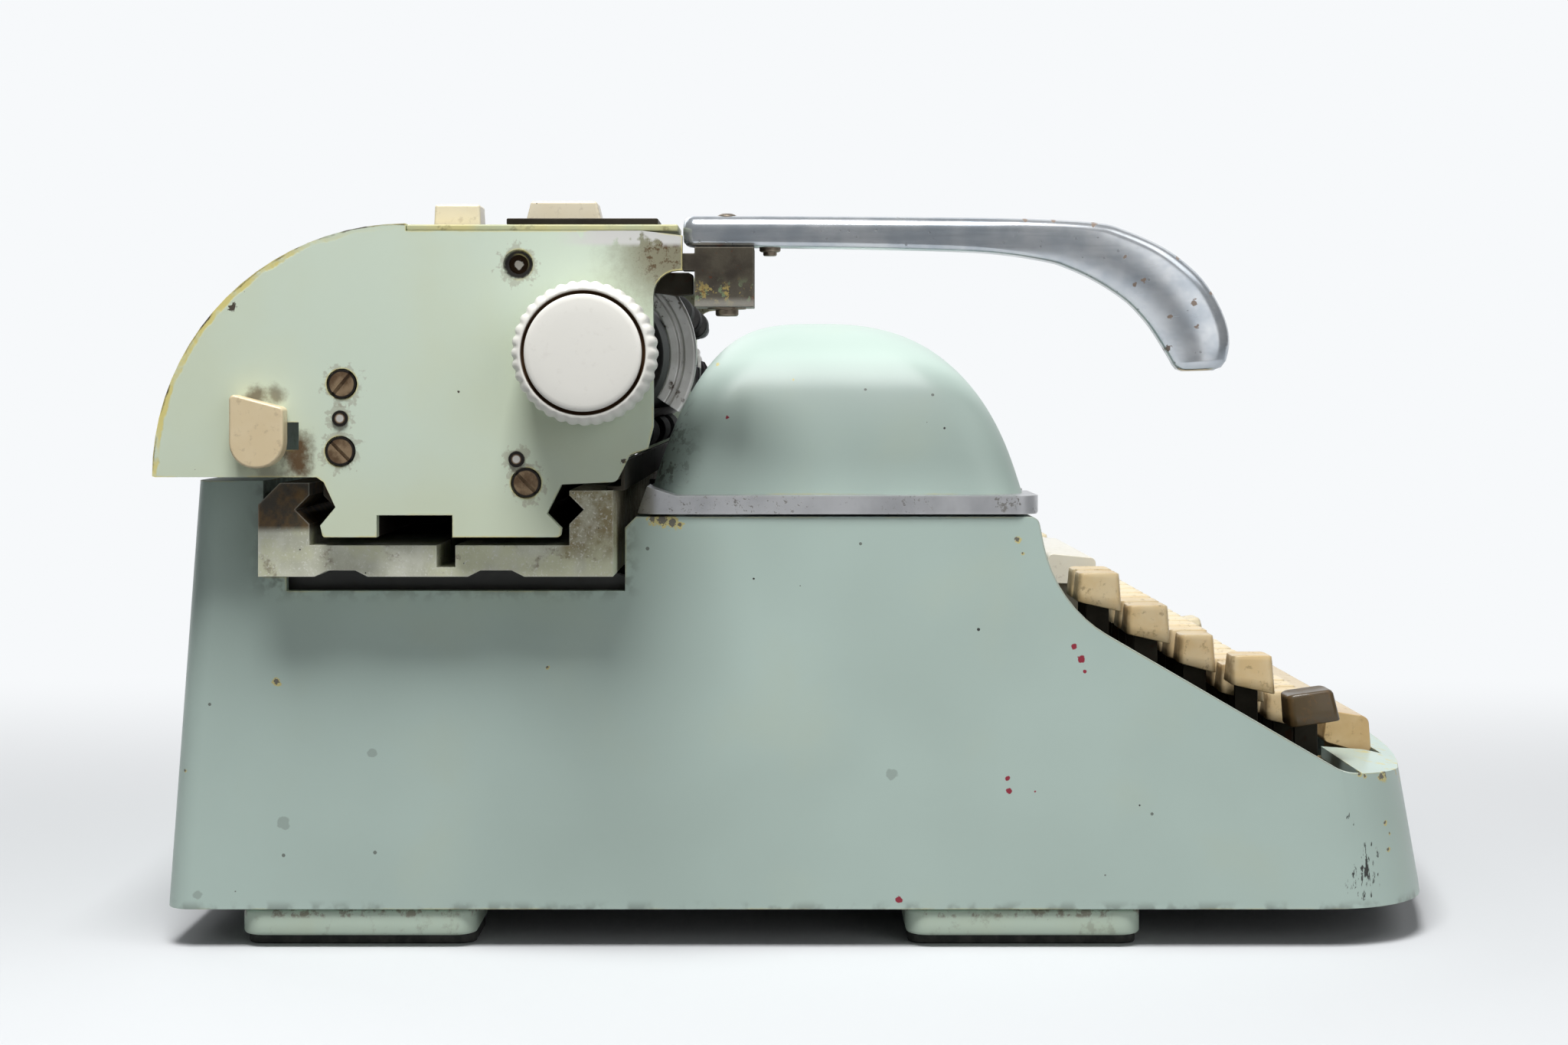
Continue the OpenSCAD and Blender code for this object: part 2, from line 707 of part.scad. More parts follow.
module carriage_cover() {
  sheet = 1.6;
  lip = 108;
  color([0.64, 0.72, 0.66]) along_x(-rim_x, rim_x) polygon(concat(arc(arc_c, arc_r, 2, 90, 20),
    [[lip, arc_c.y + arc_r], [lip, arc_c.y + arc_r - sheet]], arc(arc_c, arc_r - sheet, 90, 2, 20)));
}

// Rubber sleeves on each feed shaft
platen_x = rim_x - 8;
sleeve_l = 44;
sleeve_at = platen_x * [-0.77, -0.28, 0.28, 0.77];
module feed_roller(at) {
  rod_x(-beam_x - blind + 0.5, beam_x + blind - 0.5, at.x, at.y, feed_axle);
  for (x = sleeve_at) rod_x(x - sleeve_l / 2, x + sleeve_l / 2, at.x, at.y, feed_r);
}
module front_feed_roller() {
  color([0.15, 0.15, 0.15]) feed_roller(front_feed);
}
module rear_feed_roller() {
  color([0.15, 0.15, 0.15]) feed_roller(rear_feed);
}

module paper_pan() {
  inner = platen_r + 1.2;
  sheet = 1.2;
  front_top = platen_z - 18;
  rear_top = platen_z - 14;
  leg = [sleeve_at[3] + sleeve_l / 2 + 2, platen_x - 2];
  color([0.62, 0.62, 0.60]) difference() {
    union() {
      rod_x(-platen_x, platen_x, platen_y, platen_z, inner + sheet);
      both_sides() block(leg, [95, 98.4], [beam_top, platen_z - 15]);
    }
    rod_x(-far, far, platen_y, platen_z, inner);
    block([-far, far], [0, platen_y], [front_top, far]);
    block([-far, far], [platen_y - 1, far], [rear_top, far]);
    for (p = [front_feed, rear_feed], x = sleeve_at)
      rod_x(x - sleeve_l / 2 - 1, x + sleeve_l / 2 + 1, p.x, p.y, feed_r + move_gap + 0.2);
  }
}

module screw(p) {
  rod_x(end_x - sink, end_x + 0.4, p.x, p.y, screw_r);
  rod_x(beam_x - 2, end_x - sink + 0.1, p.x, p.y, shank_r);
}
module end_plate_screws() {
  cut = [1.1, 1];
  color([0.42, 0.37, 0.31]) both_sides() {
    for (p = screw_at) difference() {
      screw(p);
      translate([end_x, p.x, p.y]) rotate([p.y < 165 ? -45 : 40, 0, 0])
        block([0.4 - cut[1], 2], [-cut[0] / 2, cut[0] / 2], [-screw_r - 1, screw_r + 1]);
    }
    for (p = stud_at) rod_x(beam_x + 0.5, end_x + 0.8, p.x, p.y, shank_r);
  }
}

module top_plates() {
  color([0.70, 0.72, 0.58]) difference() {
    both_sides() block([rim_x, end_x], plate_y, [plate_z, plate_z + plate_t]);
    button_holes();
  }
}
module dark_plate() {
  color([0.22, 0.19, 0.16]) difference() {
    block([-end_x + 1, -rim_x - 2], [55, 103], [plate_z + plate_t, plate_z + 2 * plate_t]);
    button_holes();
  }
}
button_slant = 2;
module button(y, top, slant) {
  along_x(button_x[0], button_x[1]) polygon([[y[0], button_foot], [y[1], button_foot],
    [y[1], plate_z + plate_t], [y[1] - slant, top], [y[0] + slant, top], [y[0], plate_z + plate_t]]);
}
module rear_button() {
  color([0.86, 0.80, 0.66]) button(rear_hole, plate_z + 9, 0.3);
}
module front_button() {
  color([0.88, 0.82, 0.70]) button(front_hole, plate_z + 10, button_slant);
}

// Return lever with its hub and pivot
pivot = [-end_x + 12, 33.4];
hub_z = [plate_z - 24, plate_z - 5];
pivot_r = 3.5;
arm_z = hub_z[1] + move_gap;
boss_r = 12;
module lever_hub() {
  color([0.24, 0.23, 0.18]) difference() {
    union() {
      block([pivot.x - 10, pivot.x + 10], [24.6, 43.5], hub_z);
      block([pivot.x - 10, pivot.x - 2], [43, neck_front], [neck_z, hub_z[1] - 2]);
    }
    rod_z(pivot.x, pivot.y, 0, far, pivot_r + pin_gap);
  }
}
module lever_pivot() {
  head = arm_z + arm_h + move_gap;
  color([0.45, 0.43, 0.40]) {
    rod_z(pivot.x, pivot.y, hub_z[0] - 3, head + 1.8, pivot_r);
    rod_z(pivot.x, pivot.y, head, head + 1.8, pivot_r + 2);
    rod_z(pivot.x, pivot.y, hub_z[0] - 2.6, hub_z[0], pivot_r + 2);
  }
}
module return_lever() {
  top = arm_z + arm_h;
  bend_r = 45;
  side = rounded([[pivot.y, arm_z, 0], [pivot.y, top, 0], [-109, top - 1.2, bend_r],
    [-131, arm_z - 29.4, 8], [-127.6, arm_z - 36.9, 2], [-109, arm_z - 38.1, 2], [-80.4, arm_z - 0.8, bend_r]], 10);
  color([0.80, 0.81, 0.83]) difference() {
    union() {
      along_x(pivot.x - arm_w / 2, pivot.x + arm_w / 2) polygon(side);
      rod_z(pivot.x, pivot.y, arm_z, top, boss_r);
      rod_z(pivot.x, 19, arm_z - 2.2, arm_z + 1, 3);
    }
    rod_z(pivot.x, pivot.y, 0, far, pivot_r + run_gap);
  }
}

module release_lever() {
  tab = rounded([[172, 158, 8], [189, 158, 8], [189, 181.5, 1.5], [172, 177, 1.5]]);
  along_x(-end_x - 8, -end_x - 0.3) polygon(tab);
  block([-end_x - 1, -beam_x + 1], stem_y, stem_z);
  block([-beam_x + 0.3, -beam_x + 3], [stem_y[0] - 2, stem_y[1] + 2], [stem_z[0] - 3, stem_z[1] + 3]);
}
module left_release_lever() {
  color([0.87, 0.77, 0.58]) release_lever();
}
module right_release_lever() {
  color([0.87, 0.77, 0.58]) mirror([1, 0, 0]) release_lever();
}

// Platen with its knobs
knob_x = end_x + 3;
recess = 1.5;
cap_r = 18.2;
shaft_end = knob_x + knob_l - recess - 1;
module platen_core() {
  ratchet_n = 30;
  ratchet_t = 4;
  tip = platen_r - rubber_t - 1;
  color([0.40, 0.41, 0.42]) {
    rod_x(-shaft_end, shaft_end, platen_y, platen_z, shaft_r);
    rod_x(-platen_x, platen_x, platen_y, platen_z, platen_r - rubber_t);
    translate([-platen_x - ratchet_t, platen_y, platen_z]) rotate([90, 0, 90]) linear_extrude(ratchet_t + 1)
      polygon([for (i = [0:ratchet_n - 1], k = [0, 1])
        round_at(k == 0 ? tip - 2 : tip, (i + k * 0.7) * 360 / ratchet_n)]);
  }
}
module platen_rubber() {
  color([0.08, 0.08, 0.08]) difference() {
    rod_x(-platen_x, platen_x, platen_y, platen_z, platen_r);
    rod_x(-far, far, platen_y, platen_z, platen_r - rubber_t + pin_gap);
  }
}
module platen_knobs() {
  scallop_r = 1.6;
  color([0.88, 0.87, 0.83]) both_sides() difference() {
    rod_x(knob_x, knob_x + knob_l, platen_y, platen_z, knob_r);
    rod_x(0, shaft_end + 0.3, platen_y, platen_z, shaft_r + pin_gap);
    rod_x(knob_x + knob_l - recess, far, platen_y, platen_z, cap_r + move_gap);
    for (i = [0:scallops - 1]) rod_x(0, far, platen_y + (knob_r + 0.7) * cos(i * 360 / scallops),
      platen_z + (knob_r + 0.7) * sin(i * 360 / scallops), scallop_r);
  }
}
module knob_caps() {
  color([0.90, 0.89, 0.86]) both_sides()
    rod_x(knob_x + knob_l - recess, knob_x + knob_l + 1.5, platen_y, platen_z, cap_r);
}

// Paper bail
bail_x = [rim_x - 4, rim_x - 1];
bail_rod = [platen_y - (platen_r + bail_r + move_gap) * sin(bail_turn),
  platen_z + (platen_r + bail_r + move_gap) * cos(bail_turn)];
rod_r = 2.5;
module bail_arms() {
  reach = norm(bail_rod - bail_pivot);
  fall = atan2(bail_rod.y - bail_pivot.y, bail_rod.x - bail_pivot.x);
  color([0.62, 0.62, 0.60]) {
    both_sides() {
      translate([bail_x[0], bail_pivot.x, bail_pivot.y]) rotate([fall, 0, 0])
        block([0, bail_x[1] - bail_x[0]], [0, reach], [-3, 3]);
      rod_x(bail_x[0] + 1, beam_x + blind, bail_pivot.x, bail_pivot.y, bail_axle);
      rod_x(bail_x[0] - 0.5, bail_x[1] + 0.5, bail_rod.x, bail_rod.y, 4);
    }
    rod_x(-bail_x[0] - 1, bail_x[0] + 1, bail_rod.x, bail_rod.y, rod_r);
  }
}
module bail_rollers() {
  color([0.10, 0.10, 0.10]) for (x = [-85, 0, 85]) difference() {
    rod_x(x - 13, x + 13, bail_rod.x, bail_rod.y, bail_r);
    rod_x(x - 20, x + 20, bail_rod.x, bail_rod.y, rod_r + pin_gap);
  }
}

// Ball bearings between rail and beam, in strips that hold them
ball_y = [(rail_front[1] + beam_face) / 2, (rail_rear[0] + beam_rear) / 2];
ball_at = [-60, -30, 0, 30, 60];
module ball_cages() {
  strip = 1.4;
  reach = ball_at[4] + ball_d;
  color([0.60, 0.55, 0.35]) for (y = ball_y) difference() {
    block([-reach, reach], [y - strip / 2, y + strip / 2],
      [groove_z - ball_d / 2 - strip, groove_z + ball_d / 2 + strip]);
    for (x = ball_at) translate([x, y - 5, groove_z]) rotate([-90, 0, 0])
      cylinder(h = 10, r = ball_d / 2 + run_gap);
  }
}
module bearing_balls() {
  color([0.75, 0.75, 0.76]) for (y = ball_y, x = ball_at) translate([x, y, groove_z]) sphere(ball_d / 2);
}

module mainspring_drum() {
  color([0.40, 0.40, 0.38]) difference() {
    union() {
      rod_z(drum_at.x, drum_at.y, drum_z[0], drum_z[1], drum_r);
      rod_z(drum_at.x, drum_at.y, drum_z[0], drum_z[0] + 2, drum_r + 3);
      rod_z(drum_at.x, drum_at.y, drum_z[1] - 2, drum_z[1], drum_r + 3);
    }
    rod_z(drum_at.x, drum_at.y, 0, far, stud_r + run_gap);
  }
}

// Escapement: a rack under the beam turns the pinion and the toothed wheel below the rail
pitch_l = PI * tooth_m;
pinion_h = 0.8 * tooth_m;
rack_root = 1.3 * tooth_m;
pinion_tooth = [[-0.36, -1.2], [-0.09, pinion_h], [0.09, pinion_h], [0.36, -1.2]];
rack_tooth = [[-0.85, rack_root], [-0.22, -pinion_h], [0.22, -pinion_h], [0.85, rack_root]];
module escapement_rack() {
  line = pinion_y + pinion_r;
  count = floor((travel + 20) / pitch_l);
  end = (count + 1) * pitch_l;
  teeth = [for (k = [-count:count], c = rack_tooth) [k * pitch_l + c.x * tooth_m, line + c.y]];
  back = [[end, line + rack_root], [end, notch[1]], [-end, notch[1]], [-end, line + rack_root]];
  color([0.55, 0.55, 0.56]) translate([0, 0, rack_z[0]]) linear_extrude(rack_z[1] - rack_z[0])
    polygon(concat(teeth, back));
}
wheel_z = [108, 111];
module escapement_wheel() {
  wheel_n = 18;
  color([0.68, 0.62, 0.40]) translate([0, pinion_y, 0]) {
    rod_z(0, 0, wheel_z[0] - 2, rack_z[1] - 0.4, axle_r);
    rod_z(0, 0, wheel_z[1] - 0.5, rail_z - move_gap, axle_r + 2);
    translate([0, 0, wheel_z[0]]) linear_extrude(wheel_z[1] - wheel_z[0])
      polygon([for (i = [0:wheel_n - 1], k = [0, 1])
        round_at(k == 0 ? 15 : 20, (i + k * 0.75) * 360 / wheel_n)]);
    translate([0, 0, rack_z[0] + 0.4]) linear_extrude(rack_z[1] - rack_z[0] - 0.8)
      polygon([for (i = [0:pinion_n - 1], c = pinion_tooth)
        round_at(pinion_r + c.y * tooth_m, (i + 0.5 + c.x) * 360 / pinion_n)]);
  }
}

// Keyboard: each row has its first key's place, how many keys, and where its caps stand
run_z = 42;
row_y = [-109.4, -127.8, -144.2, -162];
row_z = [109.4, 98.4, 87.6, 77];
row_shift = -2.5;
row_start = [6.5, 6, 5.75, 5.25];
row_x = [for (n = row_start) row_shift - n * key_pitch];
row_n = [14, 13, 13, 11];
first_d = 12.9;
stem_w = 8;
seat = 9;

// Cap with sloping sides, a slanted foot and a dished top
module cap(x, y, z, w, d) {
  rear_h = 10;
  front_h = 13.5;
  dish_r = 26;
  dish = 0.9;
  slope = 0.7;
  taper = 1.4;
  translate([x, y, z]) difference() {
    intersection() {
      along_x(-w, w) polygon([[d / 2, -rear_h], [d / 2 - slope, 0], [slope - d / 2, 0], [-d / 2, -front_h]]);
      along_y(-d, d) polygon([[-w / 2, -front_h], [w / 2, -front_h], [w / 2 - taper, 0], [taper - w / 2, 0]]);
    }
    translate([0, -d, dish_r - dish]) rotate([-90, 0, 0]) cylinder(h = 2 * d, r = dish_r);
  }
}
// Lever: hung on the shaft, down, forward under the keys, and up to a cap
module lever(x, y, top) {
  hub = 6;
  difference() {
    along_x(x - lever_t / 2, x + lever_t / 2) polygon([
      [shaft_y + hub, shaft_z + hub], [shaft_y - hub, shaft_z + hub], [shaft_y - hub, run_z + lever_h],
      [y + stem_w / 2, run_z + lever_h], [y + stem_w / 2, top], [y - stem_w / 2, top],
      [y - stem_w / 2, run_z], [shaft_y + hub, run_z]]);
    rod_x(-far, far, shaft_y, shaft_z, lever_shaft_r + run_gap);
  }
}
module row_keys(r) {
  color([0.84, 0.76, 0.60]) for (i = [0:row_n[r] - 1])
    cap(row_x[r] + i * key_pitch, row_y[r], row_z[r], key_w, r == 1 && i == 0 ? first_d : key_d);
}
module row_levers(r) {
  color([0.20, 0.19, 0.18]) for (i = [0:row_n[r] - 1])
    lever(row_x[r] + i * key_pitch, row_y[r], row_z[r] - seat);
}
module number_keys() {
  row_keys(0);
}
module number_levers() {
  row_levers(0);
}
module upper_keys() {
  row_keys(1);
}
module upper_levers() {
  row_levers(1);
}
module middle_keys() {
  row_keys(2);
}
module middle_levers() {
  row_levers(2);
}
module lower_keys() {
  row_keys(3);
}
module lower_levers() {
  row_levers(3);
}

// The keys round the rows stand on levers half way between those of the rows
between = key_pitch / 8;
function lane(k) = row_x[0] + between + k * key_pitch / 4;

function_y = -91.8;
function_z = 121;
module function_keys() {
  color([0.86, 0.79, 0.64]) for (k = [-2, 2, 46, 50]) {
    cap(lane(k), function_y, function_z, key_w, key_d);
    lever(lane(k), function_y, function_z - seat);
  }
}
tab_side = [[-82.5, 111, 2], [-83, 122, 2], [-100.6, 120.3, 2], [-101.1, 110.3, 2]];
tab_y = -92;
tab_seat = 113;
module tab_bar() {
  color([0.90, 0.87, 0.79]) {
    along_x(-tab_l / 2, tab_l / 2) polygon(rounded(tab_side));
    for (k = [17, 35]) lever(lane(k), tab_y, tab_seat);
  }
}
shift_side = [[-156.5, 68.2, 1], [-155.5, 79.2, 1.5], [-171, 81.4, 1.5], [-173.4, 70.8, 1]];
shift_w = 17;
shift_out = 4.7;
shift_y = -164;
shift_seat = 72;
module shift_keys() {
  color([0.30, 0.25, 0.17]) for (k = [-1, 53]) {
    x = lane(k) + (k < 0 ? -shift_out : shift_out);
    along_x(x - shift_w / 2, x + shift_w / 2) polygon(rounded(shift_side));
    lever(lane(k), shift_y, shift_seat);
  }
}
lock_y = -144.4;
lock_z = 92.6;
lock_out = 6;
module shift_lock() {
  color([0.84, 0.74, 0.55]) {
    cap(lane(0) - lock_out, lock_y, lock_z, key_w, key_d);
    lever(lane(0), lock_y, lock_z - seat);
  }
}
space_side = [[-176.5, 57.8, 2], [-177.6, 69, 2.5], [-192.5, 66.6, 3], [space_front, 53, 2]];
space_y = -185;
space_seat = 58;
module space_bar() {
  color([0.86, 0.78, 0.62]) {
    along_x(-space_l / 2, space_l / 2) polygon(rounded(space_side));
    for (k = [9, 43]) lever(lane(k), space_y, space_seat);
  }
}

body_shell();
base_plate();
feet();
foot_pads();
main_frame();
carriage_rail();
lever_shaft();
type_segment();
type_bars();
type_rest();
card_guide();
spool_plate();
ribbon();
bell();
hinge_brackets();
ribbon_cover();
cover_trim();
left_end_plate();
right_end_plate();
carriage_beam();
carriage_cover();
paper_pan();
end_plate_screws();
top_plates();
dark_plate();
lever_hub();
lever_pivot();
escapement_rack();
platen_core();
platen_rubber();
platen_knobs();
knob_caps();
front_feed_roller();
rear_feed_roller();
bail_arms();
bail_rollers();
return_lever();
left_release_lever();
right_release_lever();
rear_button();
front_button();
ball_cages();
bearing_balls();
mainspring_drum();
escapement_wheel();
left_spool();
right_spool();
number_keys();
number_levers();
upper_keys();
upper_levers();
middle_keys();
middle_levers();
lower_keys();
lower_levers();
function_keys();
tab_bar();
shift_keys();
shift_lock();
space_bar();
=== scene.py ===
import math

import bmesh
import bpy
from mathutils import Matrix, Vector


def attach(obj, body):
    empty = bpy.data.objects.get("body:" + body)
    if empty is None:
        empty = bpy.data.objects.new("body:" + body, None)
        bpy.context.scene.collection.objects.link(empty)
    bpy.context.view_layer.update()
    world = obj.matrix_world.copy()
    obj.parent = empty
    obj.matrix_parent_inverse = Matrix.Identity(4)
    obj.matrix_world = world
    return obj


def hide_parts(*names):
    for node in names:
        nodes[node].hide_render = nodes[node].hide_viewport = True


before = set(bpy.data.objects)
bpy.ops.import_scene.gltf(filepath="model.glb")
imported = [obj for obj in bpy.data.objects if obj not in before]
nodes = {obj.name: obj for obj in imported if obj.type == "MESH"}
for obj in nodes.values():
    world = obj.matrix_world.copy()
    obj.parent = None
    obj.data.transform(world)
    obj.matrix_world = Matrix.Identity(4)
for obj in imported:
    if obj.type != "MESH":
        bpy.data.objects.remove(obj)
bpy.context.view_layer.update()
print("frame loaded with", len(nodes), "nodes")


def tint(red, green, blue):
    # a colour as it looks on screen, 0 to 255, turned into the shader's linear values
    def straight(v):
        v = v / 255
        return v / 12.92 if v <= 0.04045 else ((v + 0.055) / 1.055) ** 2.4
    return (straight(red), straight(green), straight(blue), 1.0)


class Value:
    # wraps a socket of a finish, so that shader maths reads as plain sums
    def __init__(self, finish, socket):
        self.finish, self.socket = finish, socket

    def sum(self, operation, first, second=0.0):
        return self.finish.add("Math", {"operation": operation}, {0: first, 1: second})

    def __add__(self, other):
        return self.sum("ADD", self, other)

    __radd__ = __add__

    def __sub__(self, other):
        return self.sum("SUBTRACT", self, other)

    def __rsub__(self, other):
        return self.sum("SUBTRACT", other, self)

    def __mul__(self, other):
        return self.sum("MULTIPLY", self, other)

    __rmul__ = __mul__

    def __abs__(self):
        return self.sum("ABSOLUTE", self)

    def orMore(self, other):
        return self.sum("MAXIMUM", self, other)

    def below(self, other):
        return self.sum("LESS_THAN", self, other)

    def rise(self, low, high):
        # 0 below low, 1 above high, smooth between
        return self.finish.add("MapRange", {"interpolation_type": "SMOOTHSTEP"},
                               {"Value": self, "From Min": low, "From Max": high})

    def fall(self, low, high):
        return 1 - self.rise(low, high)


class Finish:
    # one material: its nodes, its place on the object, and what feeds its shader
    def __init__(self, name, **constants):
        self.material = bpy.data.materials.new(name)
        self.material.use_nodes = True
        self.tree = self.material.node_tree
        self.shader = self.tree.nodes["Principled BSDF"]
        for socket, value in constants.items():
            self.shader.inputs[socket.replace("_", " ")].default_value = value
        self.point = self.add("TexCoord", out="Object")
        self.x, self.y, self.z = (self.add("SeparateXYZ", {}, {0: self.point}, out=i) for i in range(3))
        self.colour = self.height = None

    def add(self, kind, settings=None, sockets=None, out=0):
        node = self.tree.nodes.new("ShaderNode" + kind)
        for key, setting in (settings or {}).items():
            setattr(node, key, setting)
        for key, value in (sockets or {}).items():
            self.feed(node.inputs[key], value)
        return Value(self, node.outputs[out])

    def feed(self, socket, value):
        if isinstance(value, Value):
            self.tree.links.new(value.socket, socket)
        else:
            socket.default_value = value

    def noise(self, size, detail=3.0, rough=0.55, stretch=None, seed=0.0):
        # size is the width of a blotch in millimetres
        where = self.point
        if stretch or seed:
            where = self.add("VectorMath", {"operation": "MULTIPLY_ADD"},
                             {0: where, 1: stretch or (1, 1, 1), 2: (seed, seed * 0.7, seed * 0.3)})
        return self.add("TexNoise", {}, {"Vector": where, "Scale": 1000.0 / size, "Detail": detail,
                                         "Roughness": rough})

    def specks(self, spacing, size, seed=0.0):
        # round specks of about size mm, one in each cell of spacing mm, many of them left out
        where = self.add("VectorMath", {"operation": "ADD"}, {0: self.point, 1: (seed, seed, seed)})
        cell = {"Vector": where, "Scale": 1000.0 / spacing}
        near = self.add("TexVoronoi", {}, cell, out="Distance")
        pick = self.add("SeparateColor", {}, {0: self.add("TexVoronoi", {}, cell, out="Color")})
        return near.below(pick * pick * pick * (size / spacing))

    def mix(self, share, first, second):
        # a colour is a mix made before, or three numbers for tint
        first, second = (tint(*c) if isinstance(c, tuple) else c for c in (first, second))
        return self.add("Mix", {"data_type": "RGBA"}, {0: share, 6: first, 7: second}, out=2)

    def lay(self, share, shade):
        # lays a shade over the colour that is there
        self.colour = self.mix(share, self.colour, shade)

    def edges(self, radius):
        # near 1 on sharp edges, 0 on flat ground
        soft = self.add("Bevel", {"samples": 6}, {"Radius": radius})
        hard = self.add("NewGeometry", out="Normal")
        flat = self.add("VectorMath", {"operation": "DOT_PRODUCT"}, {0: soft, 1: hard}, out="Value")
        return 1 - flat

    def away(self, y, z):
        # distance in metres, seen from the side, from a place in millimetres
        spot = self.add("CombineXYZ", {}, {0: 0.0, 1: self.y, 2: self.z})
        return self.add("VectorMath", {"operation": "DISTANCE"},
                        {0: spot, 1: (0, y / 1000, z / 1000)}, out="Value")

    def mark(self, y, z, radius, ragged=0.5, blotch=1.2):
        # a blot on the side of the machine, at Y and Z in millimetres
        wobble = (self.noise(blotch, 2.0) - 0.5) * (ragged * radius / 500)
        return (self.away(y, z) + wobble).fall(radius * 0.0008, radius * 0.00105)

    def dab(self, marks, shade, ragged, blotch=1.2, share=1.0):
        # lays a list of blots, each with its place and radius
        for y, z, r in marks:
            self.lay(self.mark(y, z, r, ragged, blotch) * share, shade)

    def relief(self, height, depth):
        # adds to the bump; depth in millimetres
        part = height * depth
        self.height = part if self.height is None else self.height + part

    def finish(self, rough, metal=None, coat=None):
        surface = {"Base Color": self.colour, "Roughness": rough, "Metallic": metal, "Coat Weight": coat}
        for socket, value in surface.items():
            if value is not None:
                self.feed(self.shader.inputs[socket], value)
        if self.height is not None:
            bump = self.add("Bump", {}, {"Strength": 1.0, "Distance": 0.001, "Height": self.height})
            self.feed(self.shader.inputs["Normal"], bump)
        return self.material


# green enamel of the casting, with the drops, chips and scuffs that its left side carries
enamel = {
    "base": (193, 213, 204), "dull": (184, 203, 194), "warm": (194, 209, 193),
    "dome": (194, 212, 203), "primer": (214, 204, 140), "metal": (112, 108, 98),
    "dirt": (70, 68, 58), "red": (150, 30, 52), "scuff": (46, 48, 44),
    "rubbed": (150, 130, 98), "pale": (205, 214, 200),
    # marks: place in Y and Z and radius, in millimetres
    "redDrops": [(-79.7, 98.8, 1.0), (-82.0, 94.8, 1.3), (-83.1, 90.7, 0.6), (-66.9, 51.5, 0.35),
                 (-57.9, 55.8, 0.9), (-58.4, 51.7, 1.0), (-22.5, 16.2, 1.2)],
    "chips": [(-61.2, 133.7, 1.3), (-63.0, 129.1, 0.6), (57.5, 140.6, 2.2), (54.6, 140.0, 2.6),
              (51.4, 139.2, 2.1), (49.0, 138.4, 1.2), (180.7, 87.3, 1.6), (92.2, 91.9, 0.7),
              (211.0, 57.9, 0.6), (-185.0, 55.2, 2.3), (-187.4, 54.8, 2.0), (-183.0, 54.4, 1.5),
              (-174.2, 56.2, 0.9), (-176.2, 55.5, 0.8), (-183.7, 39.4, 0.8), (-184.6, 30.7, 0.8),
              (-185.4, 35.8, 0.5)],
    "smears": [(178.4, 41.2, 2.34), (-20.0, 57.1, 2.21), (149.5, 64.2, 1.56), (207.0, 17.7, 1.82)],
    "dots": [(-48.4, 104.4, 0.55), (-101.0, 47.0, 0.3), (25.0, 121.0, 0.35)],
    "scuffs": [(-177.1, 30.2, 3.36), (-171.5, 21.7, 3.2), (-175.4, 22.0, 4.16), (-176.2, 26.0, 3.2),
               (-175.6, 18.2, 2.88), (-171.2, 42.3, 1.92)],
    "domeMarks": [(34.0, 173.6, 0.6, "red"), (37.5, 191.4, 0.6, "primer"), (12.0, 186.0, 0.4, "primer"),
                  (-38.0, 170.0, 0.35, "scuff")],
}


def domeMarks(paint):
    # drops on the left half of the ribbon cover, and soot with painted shade at its rear left end
    left = paint.x.below(-0.08)
    for y, z, r, shade in enamel["domeMarks"]:
        paint.lay(paint.mark(y, z, r, 1.0) * left, enamel[shade])
    # painted shade: dark patches low on the rear left end, where the carriage shades the cover
    soot = paint.noise(4.5, 5.0, 0.7, seed=3.9).rise(0.52, 0.6) * paint.x.fall(-0.15, -0.12)
    soot = soot * paint.y.rise(0.040, 0.056) * paint.z.rise(0.149, 0.155) * paint.z.fall(0.172, 0.182)
    paint.lay(soot * 0.7, enamel["dirt"])


def wallMarks(paint):
    side = paint.x.below(-0.156)
    paint.dab(enamel["redDrops"], enamel["red"], 0.5, share=side)
    for y, z, r in enamel["chips"]:
        paint.lay(paint.mark(y, z, r, 1.0) * side, enamel["primer"])
        bared = paint.mark(y + 0.2, z + 0.2, r * 0.62, 1.2, 0.7)
        paint.lay(bared * side, enamel["metal"])
    paint.dab(enamel["dots"], enamel["scuff"], 0.4, share=side)
    paint.dab(enamel["smears"], enamel["dirt"], 0.7, 3.0, side * 0.3)
    streak = paint.noise(3.4, 4.0, 0.7, (1.0, 2.4, 0.55), 2.0).rise(0.52, 0.6)
    paint.dab(enamel["scuffs"], enamel["scuff"], 1.4, 2.5, streak * side)
    # darker blotches along the sill; dirt and painted shade in the slot of the carriage
    sill = paint.z.fall(0.0125, 0.0165) * paint.noise(9, 3.0, seed=4.0).rise(0.45, 0.62)
    paint.lay(sill * 0.5, enamel["dirt"])
    # painted shade with dirt: darker patches in the slot and on the wall above it, under the carriage
    slot = paint.z.rise(0.112, 0.121) * paint.y.rise(0.060, 0.070) * paint.y.fall(0.180, 0.192)
    slot = slot * paint.noise(5, 3.0, seed=6.0).rise(0.42, 0.6)
    paint.lay(slot * 0.55, enamel["dirt"])


